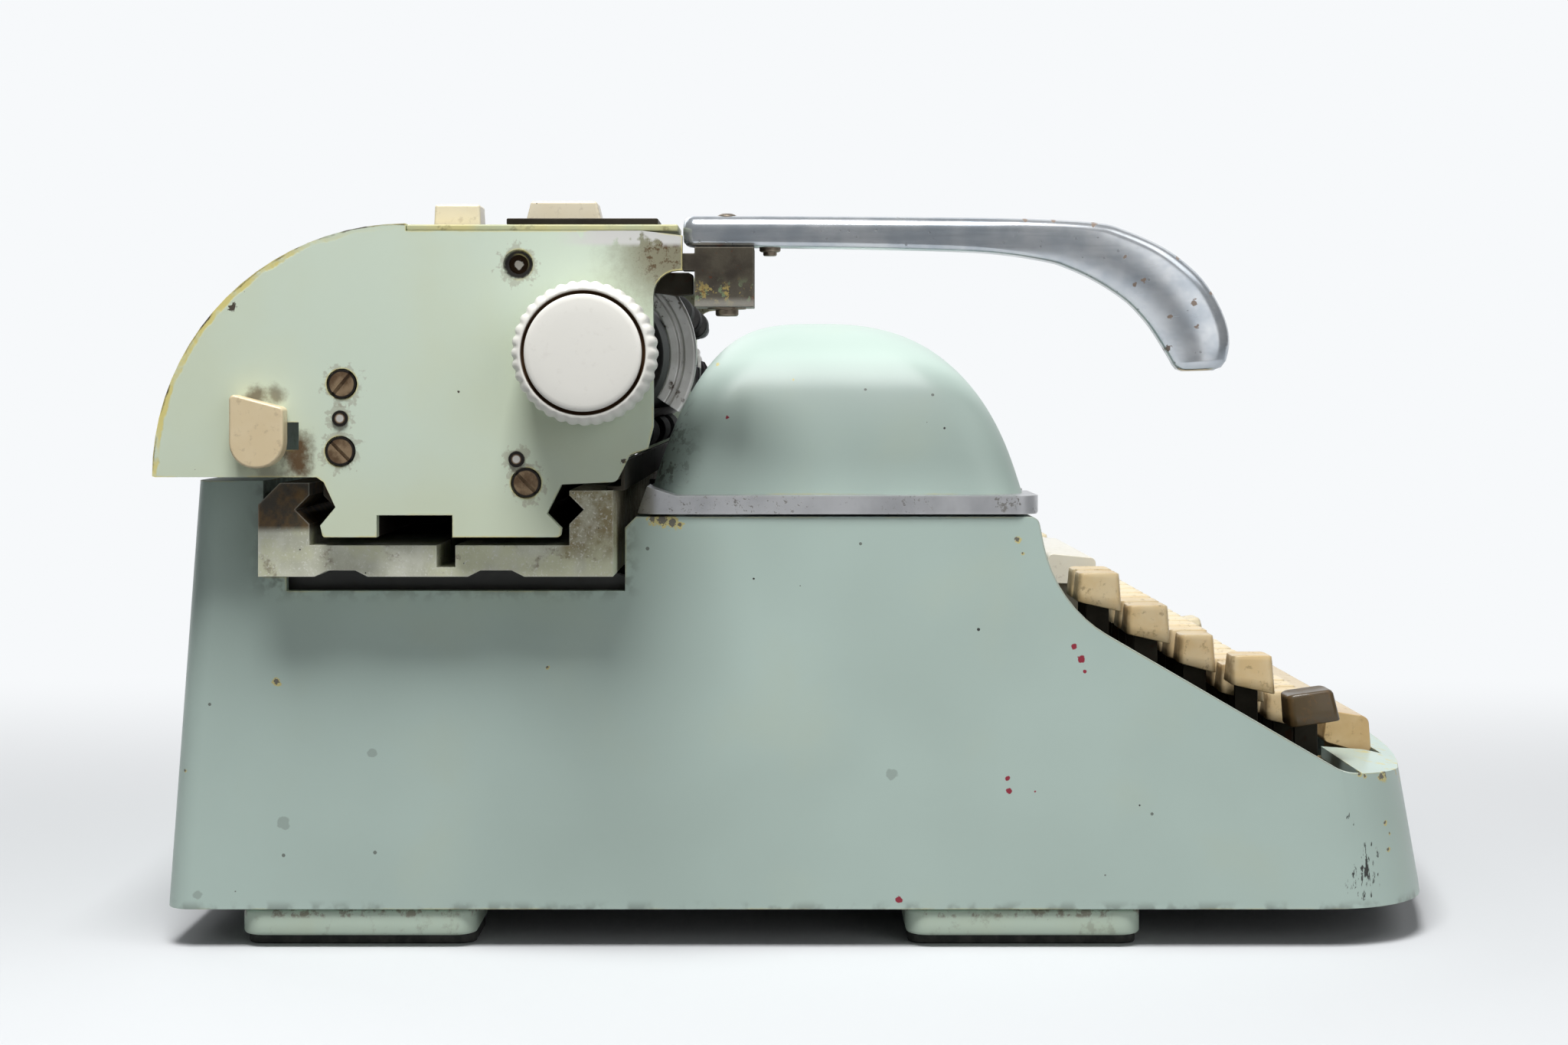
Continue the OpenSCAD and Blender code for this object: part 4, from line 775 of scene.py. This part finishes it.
def keyLeverShape(x, y, top):
    (shaftY, shaftZ), hub = keyLever["shaft"], keyLever["hub"]
    run, high, stem = keyLever["run"], keyLever["height"], keyLever["stem"] / 2
    outline = [(shaftY + hub, shaftZ + hub), (shaftY - hub, shaftZ + hub), (shaftY - hub, run + high),
               (y + stem, run + high), (y + stem, top), (y - stem, top), (y - stem, run),
               (shaftY + hub, run)]
    return prism(outline, (x - keyLever["sheet"] / 2, x + keyLever["sheet"] / 2))


# keyboard: for each row its body, node, first key and number of keys; the short row's first key is shallower
keyboard = {
    "pitch": 19.0, "width": 16.4, "depth": 15.2, "shortDepth": 12.9, "shortRow": "upperCaps", "seat": 9.0,
    "rows": {"numberCaps": ("number_row", "number_keys", -126.0, -109.4, 109.4, 14),
             "upperCaps": ("upper_row", "upper_keys", -116.5, -127.8, 98.4, 13),
             "middleCaps": ("middle_row", "middle_keys", -111.75, -144.2, 87.6, 13),
             "lowerCaps": ("lower_row", "lower_keys", -102.25, -162.0, 77.0, 11)},
    "functionX": (-133.125, -114.125, 94.875, 113.875), "function": (-91.8, 121.0),
    "lock": (-129.625, -144.4, 92.6), "lockLever": -123.625,
}


def makeCaps(name, places, body, node):
    depths = [keyboard["depth"]] * len(places)
    if name == keyboard["shortRow"]:
        depths[0] = keyboard["shortDepth"]
    caps = [capShape(place, keyboard["width"], depth) for place, depth in zip(places, depths)]
    newPiece(name, joined(caps), "keyCream", body, node)


def makeKeyLevers(name, tops, body):
    levers = joined([keyLeverShape(*top) for top in tops])
    newPiece(name, levers, "leverSteel", body, bevel=keyLever["bevel"], steps=1)


def makeKeyboard():
    for name, (body, node, x, y, z, count) in keyboard["rows"].items():
        makeCaps(name, [(x + i * keyboard["pitch"], y, z) for i in range(count)], body, node)
    y, z = keyboard["function"]
    makeCaps("functionCaps", [(x, y, z) for x in keyboard["functionX"]], "function_row", "function_keys")
    seat = z - keyboard["seat"]
    makeKeyLevers("functionLevers", [(x, y, seat) for x in keyboard["functionX"]], "function_row")
    makeCaps("lockCap", [keyboard["lock"]], "lock", "shift_lock")
    seat = keyboard["lock"][2] - keyboard["seat"]
    makeKeyLevers("lockLever", [(keyboard["lockLever"], keyboard["lock"][1], seat)], "lock")


# shift caps: low wedges with a dished top; foot and top give Y and Z at the rear, then at the front
shift = {"foot": (-156.5, 68.2, -173.4, 70.8), "top": (-155.5, 79.2, -171.0, 81.4), "half": 8.5, "lean": 1.3,
         "dish": 1.0, "dishRadius": 22.0, "fillet": 1.3, "corner": 2.4, "smallCorner": 0.5,
         "insets": (2.2, 3.6, 5.0),
         "sides": ((0.0, 0.8, 0.0), (0.0, 0.2, 0.1), (0.03, 0.0, 0.1), (0.4, 0.0, 0.0), (0.85, 0.0, 0.0)),
         "caps": {"leftShiftCap": (-133.075, "keyBrown", "key_brown", "shift_keys"),
                  "rightShiftCap": (132.825, "keyCream", "key_brown", None)},
         "levers": (-128.375, 128.125), "leverY": -164.0, "leverTop": 72.0}


def shiftShape(x0):
    points, rings = [], capRings(shift)
    for share, inset, lift, bowl in rings:
        rearY, rearZ, frontY, frontZ = (low + (high - low) * share
                                        for low, high in zip(shift["foot"], shift["top"]))
        halfX = shift["half"] - shift["lean"] * share - inset
        corner = max(shift["smallCorner"], shift["corner"] - inset * rounding["tighten"])
        for x, y in roundedRing(halfX, frontY + inset, rearY - inset, corner):
            along = (y - frontY) / (rearY - frontY)
            points.append((x0 + x, y, frontZ + (rearZ - frontZ) * along + lift + dished(x, shift) * bowl))
    return closed(points, len(rings))


def makeShiftCaps():
    for name, (x, finish, slot, replaced) in shift["caps"].items():
        newPiece(name, shiftShape(x), finish, "shift", replaced)
    makeKeyLevers("shiftLevers", [(x, shift["leverY"], shift["leverTop"]) for x in shift["levers"]], "shift")


# dome of the ribbon cover, lofted from its foot to its top, with the gap for the type bars
dome = {"halfWidth": 161.0, "centre": 1.0, "front": 66.0, "rear": 58.8, "foot": 148.1, "height": 57.6,
        "lean": 18.0, "frontPower": 2.6, "rearPower": 4, "end": 46.0, "upright": 0.2, "corner": 16.0,
        "cornerSteps": 12, "edgeSteps": (12, 28), "levels": 44, "crowding": 2.2, "topShare": 0.9995,
        "sheet": 2.5, "gap": 75.0, "gapFrom": 6.0, "bevel": 0.7, "smooth": 50}


def domeRing(share):
    def deep(foot, power):
        return (foot - dome["lean"] * share) * (1 - share ** 3) ** (1 / power)
    narrow = max(0.0, (share - dome["upright"]) / (1 - dome["upright"]))
    width = dome["halfWidth"] - dome["end"] * (1 - math.sqrt(1 - narrow * narrow))
    rear, front = deep(dome["rear"], dome["rearPower"]), deep(dome["front"], dome["frontPower"])
    corner = min(dome["corner"], rear * 0.9, front * 0.9)
    arcs = cornerArcs(width, -front, rear, corner, dome["cornerSteps"])
    ring = []
    for i, arc in enumerate(arcs):
        (x0, y0), (x1, y1) = arc[-1], arcs[(i + 1) % 4][0]
        steps = dome["edgeSteps"][1 - i % 2]
        ring += arc + [(x0 + (x1 - x0) * k / steps, y0 + (y1 - y0) * k / steps) for k in range(1, steps)]
    return [(x, dome["centre"] + y, dome["foot"] + share * dome["height"]) for x, y in ring]


def cutGap(mesh):
    form = bmesh.new()
    form.from_mesh(mesh)
    gap, gapFrom = dome["gap"] / 1000, dome["gapFrom"] / 1000
    for spot, facing in (((gap, 0, 0), (1, 0, 0)), ((-gap, 0, 0), (1, 0, 0)), ((0, gapFrom, 0), (0, 1, 0))):
        everything = form.verts[:] + form.edges[:] + form.faces[:]
        bmesh.ops.bisect_plane(form, geom=everything, plane_co=spot, plane_no=facing, dist=1e-7)
    middles = [(face, face.calc_center_median()) for face in form.faces]
    inside = [face for face, middle in middles if abs(middle.x) < gap and middle.y > gapFrom]
    bmesh.ops.delete(form, geom=inside, context="FACES")
    form.to_mesh(mesh)
    form.free()


def makeDome():
    points, levels = [], dome["levels"]
    for k in range(levels + 1):
        points += domeRing(min(1 - (1 - k / levels) ** dome["crowding"], dome["topShare"]))
    around = len(points) // (levels + 1)
    faces = ringFaces(levels + 1, around) + [tuple(range(levels * around, (levels + 1) * around))]
    piece = newPiece("domeShell", (points, faces), "domeEnamel", "cover", "ribbon_cover")
    cutGap(piece.data)
    smoothFaces(piece)
    sheet = piece.modifiers.new("sheet", "SOLIDIFY")
    sheet.thickness = dome["sheet"] / 1000
    sheet.offset = -1
    roundEdges(piece, dome["bevel"], 2, dome["smooth"], "MITER_SHARP")
    evenShading(piece)


# platen knobs: a scalloped rim, a groove, and a crowned disc in the end; a profile gives the place along the
# axis from the rim's start or end, the radius and, for the rim, how deep the scallops bite there
knob = {"start": 198.0, "end": 219.0, "axis": (76.8, 194.0), "around": 288,
        "scallops": 36, "bite": 0.62, "pinch": 1.6,
        "inner": [(0.0, 12.0, 0.0), (0.0, 19.6, 0.0), (0.5, 20.4, 0.2), (2.0, 21.6, 0.6), (3.6, 22.2, 1.0),
                  (5.5, 22.5, 1.0)],
        "outer": [(-5.0, 22.5, 1.0), (-3.0, 22.3, 1.0), (-1.6, 21.8, 0.95), (-0.6, 20.9, 0.7),
                  (-0.1, 20.2, 0.35), (0.0, 19.7, 0.0), (-0.1, 19.3, 0.0), (-0.4, 19.1, 0.0),
                  (-1.5, 19.1, 0.0), (-1.5, 12.0, 0.0)],
        "disc": [(-1.4, 12.0), (-1.4, 18.1), (0.25, 18.1), (0.7, 17.95), (1.0, 17.4), (1.2, 16.2),
                 (1.35, 12.0), (1.5, 5.0), (1.5, 1.0)]}


def knobShape(profile, side, capped):
    (y0, z0), around = knob["axis"], knob["around"]
    points = []
    for along, radius, bite in profile:
        for i in range(around):
            turn = 2 * math.pi * i / around
            wave = (0.5 - 0.5 * math.cos(turn * knob["scallops"])) ** knob["pinch"]
            r = radius - bite * knob["bite"] * wave
            points.append((side * along, y0 + r * math.cos(turn), z0 + r * math.sin(turn)))
    faces = ringFaces(len(profile), around)
    if capped:
        faces.append(tuple(range(len(points) - around, len(points))))
    return (points, faces) if side > 0 else flipped((points, faces))


def makeKnobs():
    rim = [(knob["start"] + along, radius, bite) for along, radius, bite in knob["inner"]]
    rim += [(knob["end"] + along, radius, bite) for along, radius, bite in knob["outer"]]
    disc = [(knob["end"] + along, radius, 0.0) for along, radius in knob["disc"]]
    for name, profile, capped, node in (("knobRims", rim, False, "platen_knobs"),
                                        ("knobDiscs", disc, True, "knob_caps")):
        pair = joined([knobShape(profile, side, capped) for side in (-1, 1)])
        newPiece(name, pair, "knobIvory", "platen", node)


# return lever: a crowned bar, straight along the carriage and bent down to a paddle with oval sides;
# each station gives Y and Z of the upper edge, then of the lower edge
lever = {"x": -183.0, "half": 6.0, "crown": 4.4, "under": 1.6, "mostCorner": 0.96, "cornerSteps": 6,
         "steps": 5,
         "spine": [(44.0, 238.4, 44.0, 228.5), (20.0, 238.4, 20.0, 228.3), (-10.0, 238.2, -10.0, 227.9),
                   (-40.0, 237.9, -38.0, 227.2), (-64.0, 237.5, -54.4, 226.2), (-85.5, 236.3, -69.4, 223.5),
                   (-94.8, 233.8, -75.6, 221.3), (-105.5, 229.1, -82.0, 218.2),
                   (-113.0, 224.1, -88.2, 214.4), (-119.2, 218.3, -94.0, 210.0),
                   (-124.1, 211.0, -98.4, 205.3), (-127.2, 203.5, -102.0, 200.7),
                   (-127.9, 197.3, -106.4, 194.0), (-126.8, 192.0, -108.6, 190.6)],
         "heel": [(47.4, 235.6, 47.4, 231.0), (47.1, 236.9, 47.1, 229.9), (46.4, 237.8, 46.4, 229.1),
                  (45.4, 238.2, 45.4, 228.7)],
         "toe": [(-125.2, 189.9, -110.0, 189.2), (-122.6, 188.9, -112.2, 188.6)],
         "heelPinch": [4.2, 2.6, 1.4, 0.5], "toePinch": [1.0, 2.6], "paddle": (-55.0, -100.0), "oval": 0.75}


def smoothPath(stations, steps):
    # curve through all stations
    path = []
    for i in range(len(stations) - 1):
        a, b = stations[max(i - 1, 0)], stations[i]
        c, d = stations[i + 1], stations[min(i + 2, len(stations) - 1)]
        for k in range(steps):
            t = k / steps
            path.append(tuple(0.5 * (2 * q + (r - p) * t + (2 * p - 5 * q + 4 * r - s) * t * t
                                     + (3 * q - p - 3 * r + s) * t ** 3) for p, q, r, s in zip(a, b, c, d)))
    return path + [stations[-1]]


def barRing(half, high, oval):
    # a bar with rounded corners, or part of the way to an ellipse
    most, steps = high * lever["mostCorner"], lever["cornerSteps"]
    crown, under = min(lever["crown"], most), min(lever["under"], most)
    top, foot = high - crown, under - high
    outline = []
    for side, up, radius, start in ((1, 1, crown, 0), (-1, 1, crown, 90), (-1, -1, under, 180),
                                    (1, -1, under, 270)):
        for i in range(steps + 1):
            turn = math.radians(start + 90 * i / steps)
            outline.append((side * (half - radius) + radius * math.cos(turn),
                            up * (high - radius) + radius * math.sin(turn)))
        if side * up < 0:
            # the flat side between two corners
            shares = [0.5 - i / steps for i in range(1, steps)]
            outline += [(side * half, (top + foot) / 2 + up * (top - foot) * share) for share in shares]
    ring = []
    for across, rise in outline:
        turn = math.atan2(rise / high, across / half)
        ring.append((across + (half * math.cos(turn) - across) * oval,
                     rise + (high * math.sin(turn) - rise) * oval))
    return ring


def makeLever():
    path = smoothPath(lever["spine"], lever["steps"])
    spine = lever["heel"] + path + lever["toe"]
    pinches = lever["heelPinch"] + [0.0] * len(path) + lever["toePinch"]
    begin, end = lever["paddle"]
    points = []
    for (topY, topZ, lowY, lowZ), pinch in zip(spine, pinches):
        high = math.hypot(topY - lowY, topZ - lowZ) / 2
        upY, upZ = (topY - lowY) / (2 * high), (topZ - lowZ) / (2 * high)
        oval = min(1.0, max(0.0, (begin - lowY) / (begin - end))) * lever["oval"]
        points += [(lever["x"] + across, (topY + lowY) / 2 + upY * up, (topZ + lowZ) / 2 + upZ * up)
                   for across, up in barRing(lever["half"] - pinch, high, oval)]
    bar = flipped(closed(points, len(spine)))
    newPiece("leverBar", bar, "polishedLever", "line_lever", "return_lever")


# dark folded strip under the platen that closes the view from the end of the carriage to the other side: a
# sheet of painted shade for the parts behind
strip = {"half": 185.0, "pieces": 12, "bevel": 0.3,
         "fold": [(72.0, 150.4), (72.0, 151.9), (67.4, 151.9), (67.4, 160.0), (66.0, 160.0), (66.0, 150.4)]}


def makeStrip():
    stations = [strip["half"] * (2 * k / strip["pieces"] - 1) for k in range(strip["pieces"] + 1)]
    folded = prism(strip["fold"], stations)
    # a dark sheet that stands in for shade
    newPiece("frontShadeStrip", folded, "darkIron", "carriage", bevel=strip["bevel"])


# turned parts: radius and height down the axis; the pivot's head and nut, and the stop screw under the lever
turned = {"around": 40, "bevel": 0.15, "parts": {
    "pivotTurned": {"at": (-183.0, 33.4), "body": "carriage", "replaces": "lever_pivot",
                    "profile": [(0.4, 239.3), (1.6, 239.2), (2.5, 238.9), (3.1, 238.5), (3.1, 236.0),
                                (2.0, 236.0), (2.0, 209.2), (6.2, 209.2), (6.2, 208.5), (3.7, 208.4),
                                (3.7, 206.8), (3.3, 206.3), (0.4, 206.2)]},
    "stopScrewTurned": {"at": (-183.0, 19.6), "body": "line_lever", "replaces": None,
                        "profile": [(0.4, 229.5), (3.4, 229.5), (3.4, 227.3), (3.0, 226.9), (2.2, 226.8),
                                    (2.2, 225.9), (1.9, 225.6), (0.4, 225.6)]}}}


def makeTurned():
    turns = [2 * math.pi * i / turned["around"] for i in range(turned["around"])]
    for name, part in turned["parts"].items():
        x, y = part["at"]
        points = [(x + r * math.cos(turn), y + r * math.sin(turn), z)
                  for r, z in part["profile"] for turn in turns]
        screw = flipped(closed(points, len(part["profile"])))
        newPiece(name, screw, "screwSteel", part["body"], part["replaces"], turned["bevel"])


# feet: rounded plates that reach out as far as the casting's wall; the foot's edge is drawn in and lifted
feet = {"inner": 129.0, "outer": 168.6, "middles": (-63.5, 154.5), "half": 38.5, "bottom": 4.0, "top": 12.5,
        "fillet": 1.5, "filletSteps": 5, "corner": 7.0, "edge": [(1.5, 0.0), (0.4, 0.35), (0.0, 1.1)]}


def makeFeet():
    levels = [(inset, feet["bottom"] + lift) for inset, lift in feet["edge"]]
    rounded = filletSteps(feet["fillet"], feet["filletSteps"])
    levels += [(inset, feet["top"] + lift) for inset, lift in rounded]
    centre, halfX = (feet["inner"] + feet["outer"]) / 2, (feet["outer"] - feet["inner"]) / 2
    outline = []
    for inset, z in levels:
        halfY = feet["half"] - inset
        outline += [(x, y, z) for x, y in roundedRing(halfX - inset, -halfY, halfY, feet["corner"] - inset)]
    plates = []
    for x0 in (-centre, centre):
        for y0 in feet["middles"]:
            plates.append(closed([(x0 + x, y0 + y, z) for x, y, z in outline], len(levels)))
    newPiece("footPlates", joined(plates), "footEnamel", "machine", "feet")


# bright guide round the platen's front, with a groove in its outer face, and a dark arm above it
guide = {"axis": (76.8, 194.0), "from": 134.0, "to": 214.0, "steps": 40, "bevel": 0.3,
         "section": [(24.6, -172.2), (33.4, -172.2), (33.4, -175.4), (32.6, -176.2), (29.6, -176.2),
                     (29.2, -174.6), (28.0, -174.6), (27.6, -176.2), (25.0, -176.2), (24.6, -175.8)],
         "arm": [(44.4, 213.4), (44.4, 219.8), (46.0, 220.6), (58.0, 220.6), (60.5, 217.0), (58.0, 214.2),
                 (50.0, 213.0)],
         "armX": (-177.5, -172.5), "armBevel": 0.5}


def makeGuide():
    (y0, z0), rings = guide["axis"], guide["steps"] + 1
    points = []
    for k in range(rings):
        turn = math.radians(guide["from"] + (guide["to"] - guide["from"]) * k / guide["steps"])
        points += [(x, y0 + r * math.cos(turn), z0 + r * math.sin(turn)) for r, x in guide["section"]]
    bent, arm = closed(points, rings), prism(guide["arm"], guide["armX"])
    newPiece("platenGuide", bent, "guideSteel", "carriage", bevel=guide["bevel"])
    newPiece("guideArm", arm, "darkIron", "carriage", bevel=guide["armBevel"])


makeKeyboard()
makeDome()
makeKnobs()
makeLever()
makeShiftCaps()
makeStrip()
makeTurned()
makeFeet()
makeGuide()
print("keys, dome, knobs, lever, strip, screws, feet and guide made")


# pale sweep that the machine stands on
sweep = {"width": 9.0, "front": -4.0, "bend": 1.5, "radius": 1.2, "top": 4.0, "steps": 24, "rough": 0.9,
         "colour": tint(219, 221, 223), "bounce": tint(126, 127, 128), "white": tint(247, 249, 251),
         "fade": (-0.1, 0.6)}


def sweepPaper():
    # the camera sees pale paper that fades to white behind the machine; other rays see a greyer floor
    paper = Finish("sweepPaper", Metallic=0.0, Roughness=sweep["rough"], Base_Color=sweep["bounce"])
    pale = paper.add("BsdfDiffuse", {}, {"Color": sweep["colour"]})
    white = paper.add("Emission", {}, {"Color": sweep["white"], "Strength": 1.0})
    far = paper.add("MixShader", {}, {0: paper.x.rise(*sweep["fade"]), 1: pale, 2: white})
    seen = paper.add("LightPath", out="Is Camera Ray") + paper.add("LightPath", out="Is Glossy Ray")
    blend = paper.add("MixShader", {}, {0: seen, 1: Value(paper, paper.shader.outputs[0]), 2: far})
    paper.feed(paper.tree.nodes["Material Output"].inputs["Surface"], blend)
    return paper.material


def makeSweep():
    profile = [(sweep["front"], 0.0), (sweep["bend"], 0.0)]
    for i in range(1, sweep["steps"] + 1):
        turn = math.pi / 2 * i / sweep["steps"]
        profile.append((sweep["bend"] + sweep["radius"] * math.sin(turn),
                        sweep["radius"] * (1 - math.cos(turn))))
    profile.append((sweep["bend"] + sweep["radius"], sweep["top"]))
    half = sweep["width"] / 2
    points = [(x, y, z) for x, z in profile for y in (-half, half)]
    faces = [(2 * i, 2 * i + 1, 2 * i + 3, 2 * i + 2) for i in range(len(profile) - 1)]
    mesh = bpy.data.meshes.new("sweep")
    mesh.from_pydata(points, [], faces)
    mesh.materials.append(sweepPaper())
    floor = bpy.data.objects.new("sweep", mesh)
    bpy.context.scene.collection.objects.link(floor)
    smoothFaces(floor)


# soft boxes: place, what they point at, size and power
lamps = {
    "overhead": {"at": (-0.71, 0.14, 1.45), "aim": (-0.1, 0.0, 0.1), "size": (0.6, 0.6), "power": 25.5},
    "frontFill": {"at": (-0.5, -1.05, 1.35), "aim": (-0.1, 0.0, 0.1), "size": (0.8, 0.8), "power": 3.4},
    "rearFill": {"at": (1.3, 1.0, 1.3), "aim": (0.0, 0.0, 0.12), "size": (1.4, 1.0), "power": 6},
    "card": {"at": (-1.3, -0.80, 0.50), "aim": (-0.2, -0.1, 0.2), "size": (0.9, 0.7), "power": 2.2},
}
sky = {"Color": tint(244, 247, 250), "Strength": 0.13}


def makeLights():
    for name, lamp in lamps.items():
        light = bpy.data.lights.new(name, "AREA")
        light.shape = "RECTANGLE"
        light.size, light.size_y = lamp["size"]
        light.energy = lamp["power"]
        holder = bpy.data.objects.new(name, light)
        holder.location = lamp["at"]
        aim = Vector(lamp["aim"]) - Vector(lamp["at"])
        holder.rotation_euler = aim.to_track_quat("-Z", "Y").to_euler()
        bpy.context.scene.collection.objects.link(holder)
    world = bpy.data.worlds.new("studio")
    world.use_nodes = True
    for socket, value in sky.items():
        world.node_tree.nodes["Background"].inputs[socket].default_value = value
    bpy.context.scene.world = world


# level camera to the left of the machine, at the carriage's height; the frame reaches further down than up
view = {"at": (-0.970, 0.0151, 0.182), "turn": -90.0, "lens": 56.25, "sensor": 36.0, "shift": -0.0833,
        "nearest": 0.02}


def makeCamera():
    lens = bpy.data.cameras.new("sideCamera")
    lens.lens = view["lens"]
    lens.sensor_width = view["sensor"]
    lens.clip_start = view["nearest"]
    lens.shift_y = view["shift"]
    camera = bpy.data.objects.new("sideCamera", lens)
    camera.location = view["at"]
    camera.rotation_euler = (math.radians(90), 0.0, math.radians(view["turn"]))
    bpy.context.scene.collection.objects.link(camera)
    bpy.context.scene.camera = camera


makeSweep()
makeLights()
makeCamera()
bpy.context.scene.view_settings.view_transform = "Standard"
print("stage, lights and camera set")
